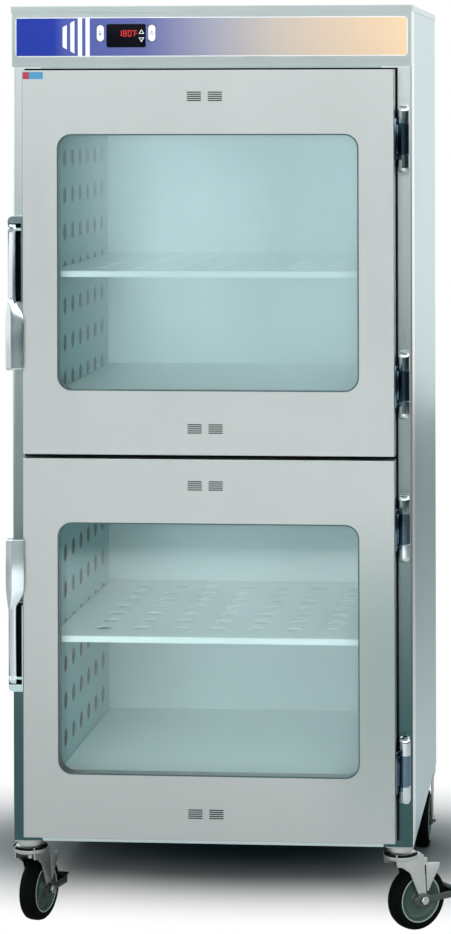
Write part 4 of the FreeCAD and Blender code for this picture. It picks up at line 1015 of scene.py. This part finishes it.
def makeLatchCase(level, turn):  # turn is -1 where the lever hangs from its eye, 1 where it stands up
    low, high = boxOf[level + "_latch_case"]
    eye = Vector(jointOf[level + "_latch_pull"]["pos_m"])
    outer, inner = (high.z, low.z) if turn < 0 else (low.z, high.z)
    capEnd = outer + turn * latchSetting["endWall"]
    wall, rightWall, deep, skin, radius = take(latchSetting, "wall rightWall floor bed pin")
    left, right, floor = low.x + wall, high.x - rightWall, low.y + deep
    channel = [(low.x, low.y), (left, low.y), (left, floor), (right, floor), (right, low.y),
               (high.x, low.y), (high.x, high.y), (low.x, high.y)]
    case = startOutline("latchCase", [(x, y, inner) for x, y in channel])
    drawOut((0, 0, capEnd - inner))
    roundEdges(lambda spot, along: abs(along.z) > 0.9 and abs(spot.x - low.x) < onLine,
               latchSetting["edge"], 2)
    leaveEdit(case)
    cap = startBlock("latchCap", (low.x, low.y, min(outer, capEnd)),
                     (high.x, high.y, max(outer, capEnd)))
    roundEdges(lambda spot, along: abs(spot.z - outer) < onLine and abs(spot.x - low.x) < onLine,
               latchSetting["hood"], 8)
    leaveEdit(cap)
    bed = startBlock(level + "LatchBed", (left + 2 * hair, floor - skin, min(inner, capEnd) + hair),
                     (right - 2 * hair, floor - hair, max(inner, capEnd) - hair))
    finishPiece(bed, level + "_door", "sealRubber")
    long = high.x - low.x - latchSetting["pinShort"]
    pin = spinOutline("latchPin", [(0, 0), (0, radius), (long, radius), (long, 0)],
                      (low.x + latchSetting["pinIn"], eye.y, eye.z), sideways, 20)
    finishPiece(join(level + "LatchCase", [case, cap, pin]), level + "_door", "latchSteel",
                (level + "_latch_case",))


def makeLatchLever(level, turn):
    eye = Vector(jointOf[level + "_latch_pull"]["pos_m"])
    arm, thick = latchSetting["arm"] / 2, latchSetting["armThick"] / 2
    section = [(arm * x, thick * y) for x, y in latchSetting["armSection"]]
    start, gripRun = eye - Vector((0, latchSetting["forward"], 0)), latchSetting["gripRun"]
    made = [sweepSections("leverBar", section, start, latchSetting["armRun"], turn),
            sweepSections("leverGrip", latchSetting["gripSection"], start, gripRun, turn)]
    half, boss, bore, ease = take(latchSetting, "bossWide boss bossBore bossEase")
    half = half / 2
    outline = [(-half, bore), (-half, boss - ease), (-half + ease, boss), (half - ease, boss),
               (half, boss - ease), (half, bore)]
    made.append(spinOutline("leverBoss", outline, eye, sideways, 28))
    made.append(spinOutline("leverDisc", latchSetting["disc"], eye + Vector(latchSetting["discPlace"]),
                            (0, -1, 0), 24))
    foot = eye + Vector((0, 0, turn * gripRun[-1][0]))
    made.append(softBlock("leverFoot", foot + Vector(latchSetting["footLow"]),
                          foot + Vector(latchSetting["footHigh"]), 0.0012))
    finishPiece(join(level + "LatchLever", made), level + "_lever", "leverSteel",
                (level + "_latch_lever",), smooth=40)


for level, turn in (("upper", -1), ("lower", 1)):
    makeLatchCase(level, turn)
    makeLatchLever(level, turn)
print("latches made")


# Casters, each made about its own swivel and then turned and set down.
casterSetting = {
    "left": {"place": (-0.376, -0.313), "turn": -15}, "right": {"place": (0.376, -0.313), "turn": -50},
    "rearPlace": (0.376, 0.309), "axle": 0.0635, "trail": 0.038, "steps": 48, "ringSteps": 40,
    # profiles round the axle: distance from the wheel's middle, radius
    "tread": [(0.016, 0.0465), (0.016, 0.0555), (0.015, 0.059), (0.012, 0.0618), (0.007, 0.0632),
              (0.0, 0.0635)],
    "hubFace": [(0.0198, 0.0052), (0.0198, 0.0135), (0.019, 0.0148), (0.013, 0.0155), (0.0095, 0.019),
                (0.0085, 0.026), (0.009, 0.0345), (0.0115, 0.0395), (0.0152, 0.0418), (0.0156, 0.0455),
                (0.015, 0.0463)],
    "rim": [(0.015, 0.0444), (0.0164, 0.0449), (0.0168, 0.046), (0.0164, 0.0471), (0.015, 0.0476)],
    "nut": [(0, 0.004), (0, 0.0086), (0.0008, 0.009), (0.0045, 0.009), (0.0053, 0.0078),
            (0.0053, 0.004)],
    "bolt": 0.0046, "boltShank": 0.005, "boltPast": 0.007, "brakeRoom": 0.0044,
    "legIn": 0.0203, "leg": 0.003, "crown": 0.0052, "plateHalf": 0.027, "plate": 0.004,
    "cup": 0.0335, "race": 0.025, "seal": 0.005, "kingPin": 0.006, "bracketThick": 0.0024,
    "brakeGap": 0.0004, "brakeThick": 0.003,
    # a leg's foot, as Y and Z from the axle
    "foot": [(0.0125, 0.002), (0.0095, -0.0085), (0.0035, -0.012), (-0.0035, -0.012),
             (-0.0095, -0.0075)],
    # a bracket beside each front leg, as Y and Z
    "bracket": [(0.0462, 0.137), (0.08, 0.132), (0.0815, 0.126), (0.064, 0.099), (0.052, 0.078),
                (0.0482, 0.08)],
    # the brake's arm and pedal, as Y and Z from the axle
    "brakeArm": [(-0.024, -0.0068), (-0.005, -0.0125), (0.005, -0.0125), (0.016, -0.0065),
                 (0.074, -0.0065), (0.074, 0.0068), (0.016, 0.0068), (0.005, 0.0125),
                 (-0.005, 0.0125), (-0.024, 0.0068)],
    "brakeFoot": [(0.0705, -0.0065), (0.0738, -0.0068), (0.074, 0.007), (0.0765, 0.01),
                  (0.0835, 0.0108), (0.0835, 0.012), (0.0755, 0.0118), (0.0708, 0.0088)],
}
crownTop = boxOf["front_left_fork"][1].z


def mirrored(outline):  # a profile for one face of the wheel, carried round to the other face
    return outline + [(-along, out) for along, out in reversed(outline) if along > 0]


def makeWheel(end, side, place, turn, trail):
    high, steps = take(casterSetting, "axle steps")
    axle = (0, trail, high)
    name, node = end + side.title(), "%s_%s_" % (end, side)
    made = [spinOutline(name + part, mirrored(casterSetting[profile]), axle, sideways, steps)
            for part, profile in (("Tyre", "tread"), ("Hub", "hubFace"))]
    rims = [spinOutline("rim", [(face * along, out) for along, out in casterSetting["rim"]], axle,
                        sideways, steps) for face in (1, -1)]
    made.append(join(name + "Rims", rims))
    finishes = (("tyreRubber", "tyre", (node + "tyre",)), ("hubPlastic", "hub", (node + "hub",)),
                ("hubRim", "hub", ()))
    for piece, (paint, slot, replaced) in zip(made, finishes):
        setDown(piece, place, turn)
        finishPiece(piece, node + "wheel", paint, replaced)


def setDown(piece, place, turn):
    turnAbout(piece, (0, 0, 0), math.radians(turn))
    pickAll()
    bpy.ops.transform.translate(value=(*place, 0))
    leaveEdit(piece)


def legOutline(reach):  # Y and Z of one leg: swept back to the axle, or straight down to it
    axle = casterSetting["axle"]
    foot = [(reach + y, axle + z) for y, z in casterSetting["foot"]]
    if reach:
        ahead = [(0.0405, crownTop - 0.009), (0.044, axle + 0.05), (0.0462, axle + 0.014)]
        behind = [(reach - 0.0105, axle + 0.012), (0.0065, axle + 0.058), (-0.012, crownTop - 0.027),
                  (-0.0245, crownTop - 0.024)]
    else:
        ahead = [(0.0285, crownTop - 0.008), (0.0135, axle + 0.02)]
        behind = [(-0.0145, axle + 0.008), (-0.0235, crownTop - 0.034), (-0.0275, crownTop - 0.022)]
    half = casterSetting["plateHalf"]
    return [(-half, crownTop), (half, crownTop)] + ahead + foot + behind


def uprightPlate(name, outline, x, thick, test, width):  # the outline holds pairs of Y and Z
    piece = startOutline(name, [(x, y, z) for y, z in outline])
    drawOut((thick, 0, 0))
    roundEdges(test, width, 2)
    leaveEdit(piece)
    return piece


def makeFork(reach, seat):  # seat is how far the nuts stand off the legs
    legIn, leg, half = take(casterSetting, "legIn leg plateHalf")
    centre, out = (0, reach, casterSetting["axle"]), legIn + leg
    made = [uprightPlate("forkLeg", legOutline(reach), side * legIn, side * leg,
                         lambda spot, along: abs(abs(spot.x) - out) < onLine, 0.0009)
            for side in (-1, 1)]
    made.append(softBlock("forkCrown", (-out, -half, crownTop - casterSetting["crown"]),
                          (out, half, crownTop - 2 * hair), 0.0012))
    past, tip, shank = take(casterSetting, "boltPast bolt boltShank")
    end = out + past
    bolt = [(-end, 0), (-end, tip), (0.0006 - end, shank), (end - 0.0006, shank), (end, tip), (end, 0)]
    made.append(spinOutline("axleBolt", bolt, centre, sideways, 24))
    for side in (-1, 1):
        nut = [(side * (out + seat + along), radius) for along, radius in casterSetting["nut"]]
        made.append(spinOutline("axleNut", nut, centre, sideways, 6))
    return made


def ringPiece(name, outline):  # a turned piece about the swivel, heights and radii
    return spinOutline(name, outline, (0, 0, 0), upright, casterSetting["ringSteps"])


def makeFrontCaster(side):
    place, turn = take(casterSetting[side], "place turn")
    made = makeFork(casterSetting["trail"], casterSetting["brakeRoom"])
    radius, lip = casterSetting["cup"], crownTop - casterSetting["seal"]
    cup = [(crownTop - 0.0003, 0.0062), (crownTop - 0.0003, radius - 0.004), (lip, radius - 0.003),
           (lip - 0.0003, radius - 0.0005), (lip - 0.0035, radius), (lip - 0.0075, radius - 0.0015),
           (lip - 0.0095, radius - 0.005), (lip - 0.0095, 0.0062)]
    made.append(ringPiece("forkCup", cup))
    for face in (-1, 1):
        x, thick = face * casterSetting["legIn"], face * casterSetting["bracketThick"]
        tie = sorted((x, x + thick))
        made.append(uprightPlate("bracket", casterSetting["bracket"], x, thick,
                                 lambda spot, along: True, 0.0006))
        made.append(softBlock("bracketTie", (tie[0], 0.02, crownTop - 0.03),
                              (tie[1], 0.0495, crownTop - 0.026), 0.0006))
    fork = join("front%sFork" % side.title(), made)
    setDown(fork, place, turn)
    finishPiece(fork, "front_%s_swivel" % side, "zincSteel", ("front_%s_fork" % side,))
    ring = [(lip + 0.0002, radius - 0.0028), (lip + 0.0002, radius + 0.0002),
            (lip + 0.0014, radius + 0.001), (crownTop - 0.0014, radius + 0.0008),
            (crownTop - 0.0002, radius - 0.0006), (crownTop - 0.0002, radius - 0.0028)]
    seal = ringPiece("front%sSeal" % side.title(), ring)
    setDown(seal, place, turn)
    finishPiece(seal, "front_%s_swivel" % side, "sealRubber")
    makeWheel("front", side, place, turn, casterSetting["trail"])
    makeBrake(side, place, turn)


def makeBrake(side, place, turn):
    trail, axle, thick = take(casterSetting, "trail axle brakeThick")
    inner = sum(take(casterSetting, "legIn leg brakeGap"))
    wide = inner + thick
    arm, foot = ([(trail + y, axle + z) for y, z in casterSetting[part]]
                 for part in ("brakeArm", "brakeFoot"))
    made = [uprightPlate("brakeArm", arm, face * inner, face * thick, lambda spot, along: True, 0.0007)
            for face in (-1, 1)]
    made.append(uprightPlate("brakeFoot", foot, -wide, 2 * wide,
                             lambda spot, along: abs(spot.x) > wide - onLine, 0.0008))
    piece = join("front%sBrake" % side.title(), made)
    setDown(piece, place, turn)
    finishPiece(piece, "front_%s_brake" % side, "brakeSteel", ("front_%s_brake" % side,))


def makeRearCasters():
    half, top = casterSetting["plateHalf"], boxOf["rear_caster_forks"][1].z
    x, y = casterSetting["rearPlace"]
    places = {"left": (-x, y), "right": (x, y)}
    forks = []
    for place in places.values():
        made = makeFork(0, 0)
        made.append(softBlock("rearPlate", (-half, -half, crownTop - 2 * hair), (half, half, top),
                              0.0015))
        forks.append(join("rearFork", made))
        setDown(forks[-1], place, 0)
    finishPiece(join("rearForks", forks), "cabinet", "zincSteel", ("rear_caster_forks",))
    for side, place in places.items():
        makeWheel("rear", side, place, 0, 0)


def makeFrontPlates():
    low, base = (corner.z for corner in boxOf["front_caster_plates"])
    half, race, pin = take(casterSetting, "plateHalf race kingPin")
    raceOutline = [(base - 0.003, 0), (base - 0.003, race), (base - 0.006, race + 0.0004),
                   (crownTop + 0.0025, race + 0.0004), (crownTop + 0.0004, race + 0.003),
                   (crownTop + 0.0003, 0)]
    pinOutline = [(crownTop + 0.001, 0), (crownTop + 0.001, pin), (low + 0.0008, pin),
                  (low, pin - 0.0008), (low, 0)]
    mounts = []
    for side in ("left", "right"):
        plate = softBlock("casterPlate", (-half, -half, base - casterSetting["plate"]),
                          (half, half, base - hair), 0.0014)
        mounts.append(join("casterMount", [plate, ringPiece("race", raceOutline),
                                           ringPiece("kingPin", pinOutline)]))
        setDown(mounts[-1], casterSetting[side]["place"], 0)
    finishPiece(join("frontCasterMounts", mounts), "cabinet", "zincSteel",
                ("front_caster_plates",))


for side in ("left", "right"):
    makeFrontCaster(side)
makeRearCasters()
makeFrontPlates()
print("casters made")


# The panel: a rounded lens, lit digits, outlined arrow keys and two pill keys with small marks.
panelSetting = {
    "lensRound": 0.006, "lensThick": 0.0016, "lensEdge": 0.0004, "digitTall": 0.0125,
    "digitWide": 0.0068, "bar": 0.0011, "barGap": 0.0002, "arrowRound": 0.0015, "arrowEdge": 0.0002,
    "digitPitch": 0.0098, "digitsStart": -0.1868, "digitsMiddle": 1.8022, "print": 0.00025,
    "degree": (-0.0004, 0.0016, 0.004, 0.0062), "degreeRoom": 0.0028,
    "segments": {"1": "bc", "8": "abcdefg", "0": "abcdef", "F": "aefg"},
    # marks on the keys, as X and Z from a key's middle
    "arrow": [(-0.0056, -0.0042), (0.0056, -0.0042), (0, 0.005)],
    "arrowHole": [(-0.0036, -0.003), (0.0036, -0.003), (0, 0.0027)],
    "lockBody": (-0.0026, 0.0026, -0.004, 0.0002),
    "lockBow": ((-0.002, 0.002, 0.0001, 0.0044, 0.0019, 4),
                (-0.0011, 0.0011, 0.0002, 0.0035, 0.00105, 4)),
    "powerRing": ((-0.0038, 0.0038, -0.0042, 0.0034, 0.00378, 5),
                  (-0.0028, 0.0028, -0.0032, 0.0024, 0.00278, 5)),
    "powerBar": (-0.0005, 0.0005, -0.0002, 0.0052),
}


def digitBars(symbol, left, middle):
    wide, tall, line, gap = take(panelSetting, "digitWide digitTall bar barGap")
    right, low, high = left + wide, middle - tall / 2, middle + tall / 2
    half = line / 2
    inside = (left + line, right - line)
    leftBar, rightBar = (left, left + line), (right - line, right)
    lowHalf, highHalf = (low + gap, middle - gap), (middle + gap, high - gap)
    places = {"a": (*inside, high - line, high), "g": (*inside, middle - half, middle + half),
              "d": (*inside, low, low + line), "b": (*rightBar, *highHalf), "c": (*rightBar, *lowHalf),
              "f": (*leftBar, *highHalf), "e": (*leftBar, *lowHalf)}
    return [bar(*places[segment]) for segment in panelSetting["segments"][symbol]]


def makeLens():
    low, high = boxOf["display_lens"]
    thick = panelSetting["lensThick"]
    lens = thinPlate("displayLens", rounded(low.x, high.x, low.z, high.z, panelSetting["lensRound"]),
                     low.y + thick, thick)
    enterEdit()
    roundEdges(lambda spot, along: abs(spot.y - low.y) < onLine, panelSetting["lensEdge"], 2)
    finishPiece(lens, "cabinet", "blackPlastic", ("display_lens",), smooth=50)


def makeDigits():
    face, thick = boxOf["display_lens"][0].y, panelSetting["print"]
    left, middle = panelSetting["digitsStart"], panelSetting["digitsMiddle"]
    bars = []
    for symbol in "180F":
        if symbol == "F":
            x0, x1, z0, z1 = panelSetting["degree"]
            bars.append(("degreeMark", bar(left + x0, left + x1, middle + z0, middle + z1)))
            left += panelSetting["degreeRoom"]
        bars += [("digitBar", outline) for outline in digitBars(symbol, left, middle)]
        left += panelSetting["digitPitch"]
    plates = [thinPlate(name, outline, face, thick) for name, outline in bars]
    finishPiece(join("digits", plates), "cabinet", "redGlow", smooth=0)


def makeCap(key, radius, arcs, edge, steps, paint):
    low, high = boxOf[key]
    cap = thinPlate(key.title().replace("_", ""), rounded(low.x, high.x, low.z, high.z, radius, arcs),
                    high.y, high.y - low.y)
    enterEdit()
    roundEdges(lambda spot, along: abs(spot.y - low.y) < onLine, edge, steps)
    finishPiece(cap, key, paint, (key,), smooth=50)


def onKey(key, outline, flip=1):  # an outline about a key's middle
    low, high = boxOf[key]
    x, z = (low.x + high.x) / 2, (low.z + high.z) / 2
    return [(x + right, z + rise * flip) for right, rise in outline]


def makeArrowKey(key, flip):
    radius, edge = take(panelSetting, "arrowRound arrowEdge")
    makeCap(key, radius, 3, edge, 1, "blackPlastic")
    outer, inner = (onKey(key, panelSetting[part], flip) for part in ("arrow", "arrowHole"))
    mark = bandPlate(key + "Mark", outer, inner, boxOf[key][0].y, panelSetting["print"])
    finishPiece(mark, key, "whitePlastic", smooth=0)


def makePillKey(key, ring, plate, thick):  # its mark is a ring and a plain plate
    low, high = boxOf[key]
    makeCap(key, (high.x - low.x) / 2 - hair, 8, panelSetting["lensEdge"], 2, "whitePlastic")
    outer, inner = (onKey(key, rounded(*loop)) for loop in panelSetting[ring])
    marks = [bandPlate(ring, outer, inner, low.y, panelSetting["print"]),
             thinPlate(plate, onKey(key, bar(*panelSetting[plate])), low.y, thick)]
    finishPiece(join(key + "Mark", marks), key, "greyPrint", smooth=0)


# What lies in the doors' openings: a dark seal round each window, which also stands in for the shade at
# the opening's edge, and a dark plate behind the slots as painted shade inside the door.
doorSetting = {"windowSide": 0.0701, "windowBorder": 0.1271, "windowRound": 0.029, "sealWide": 0.0026,
               "sealBack": 0.0011, "sealThick": 0.0008, "ventLow": -0.043, "ventHigh": 0.033,
               "ventInset": 0.0525, "ventHalf": 0.0125, "ventBehind": 0.0014, "ventThick": 0.0005}


def makeDoorDetails(door):
    low, high = boxOf[door + "_door_pan"]
    side, border, wide, corner = take(doorSetting, "windowSide windowBorder sealWide windowRound")
    inset, half, thick, left, right = take(doorSetting, "ventInset ventHalf ventThick ventLow ventHigh")
    x0, x1, z0, z1 = low.x + side, high.x - side, low.z + border, high.z - border
    # a dark seal round each window, which also stands in for the shade at the opening's inner edge
    seal = bandPlate(door + "WindowSeal", rounded(x0, x1, z0, z1, corner),
                     rounded(x0 + wide, x1 - wide, z0 + wide, z1 - wide, corner - wide),
                     low.y + doorSetting["sealBack"], doorSetting["sealThick"])
    finishPiece(seal, door + "_door", "windowSealAndShade")
    # painted shade: dark plates behind the vent slots
    plates = [thinPlate("ventShadePlate", rounded(left, right, middle - half, middle + half, 0.001, 2),
                        low.y + doorSetting["ventBehind"] + thick, thick)
              for middle in (low.z + inset, high.z - inset)]
    finishPiece(join(door + "VentPlates", plates), door + "_door", "sealRubber", smooth=0)


def makeSticker():
    (x0, z0), (x1, z1) = stickerSetting["low"], stickerSetting["high"]
    face = boxOf["upper_door_pan"][0].y
    sticker = thinPlate("doorSticker", rounded(x0, x1, z0, z1, 0.001, 3), face, stickerSetting["thick"])
    finishPiece(sticker, "upper_door", "stickerInk", smooth=0)


def makeBackScrews():
    low, high = boxOf["back_panel_screws"]
    middle, radius = (boxOf["base_pan"][0].z + boxOf["top_lid"][1].z) / 2, 0.005
    heads = [screwHead("backScrew", (x, low.y, z), (0, 1, 0), radius)
             for x in (low.x + radius, high.x - radius)
             for z in (low.z + radius, middle, high.z - radius)]
    finishPiece(join("backScrews", heads), "cabinet", "zincSteel", ("back_panel_screws",))


makeLens()
makeDigits()
makeArrowKey("key_up", 1)
makeArrowKey("key_down", -1)
makePillKey("key_lock", "lockBow", "lockBody", panelSetting["print"])
makePillKey("key_power", "powerRing", "powerBar", panelSetting["print"] * 1.5)
for door in ("upper", "lower"):
    makeDoorDetails(door)
makeSticker()
makeBackScrews()
print("panel, sticker and screws made")
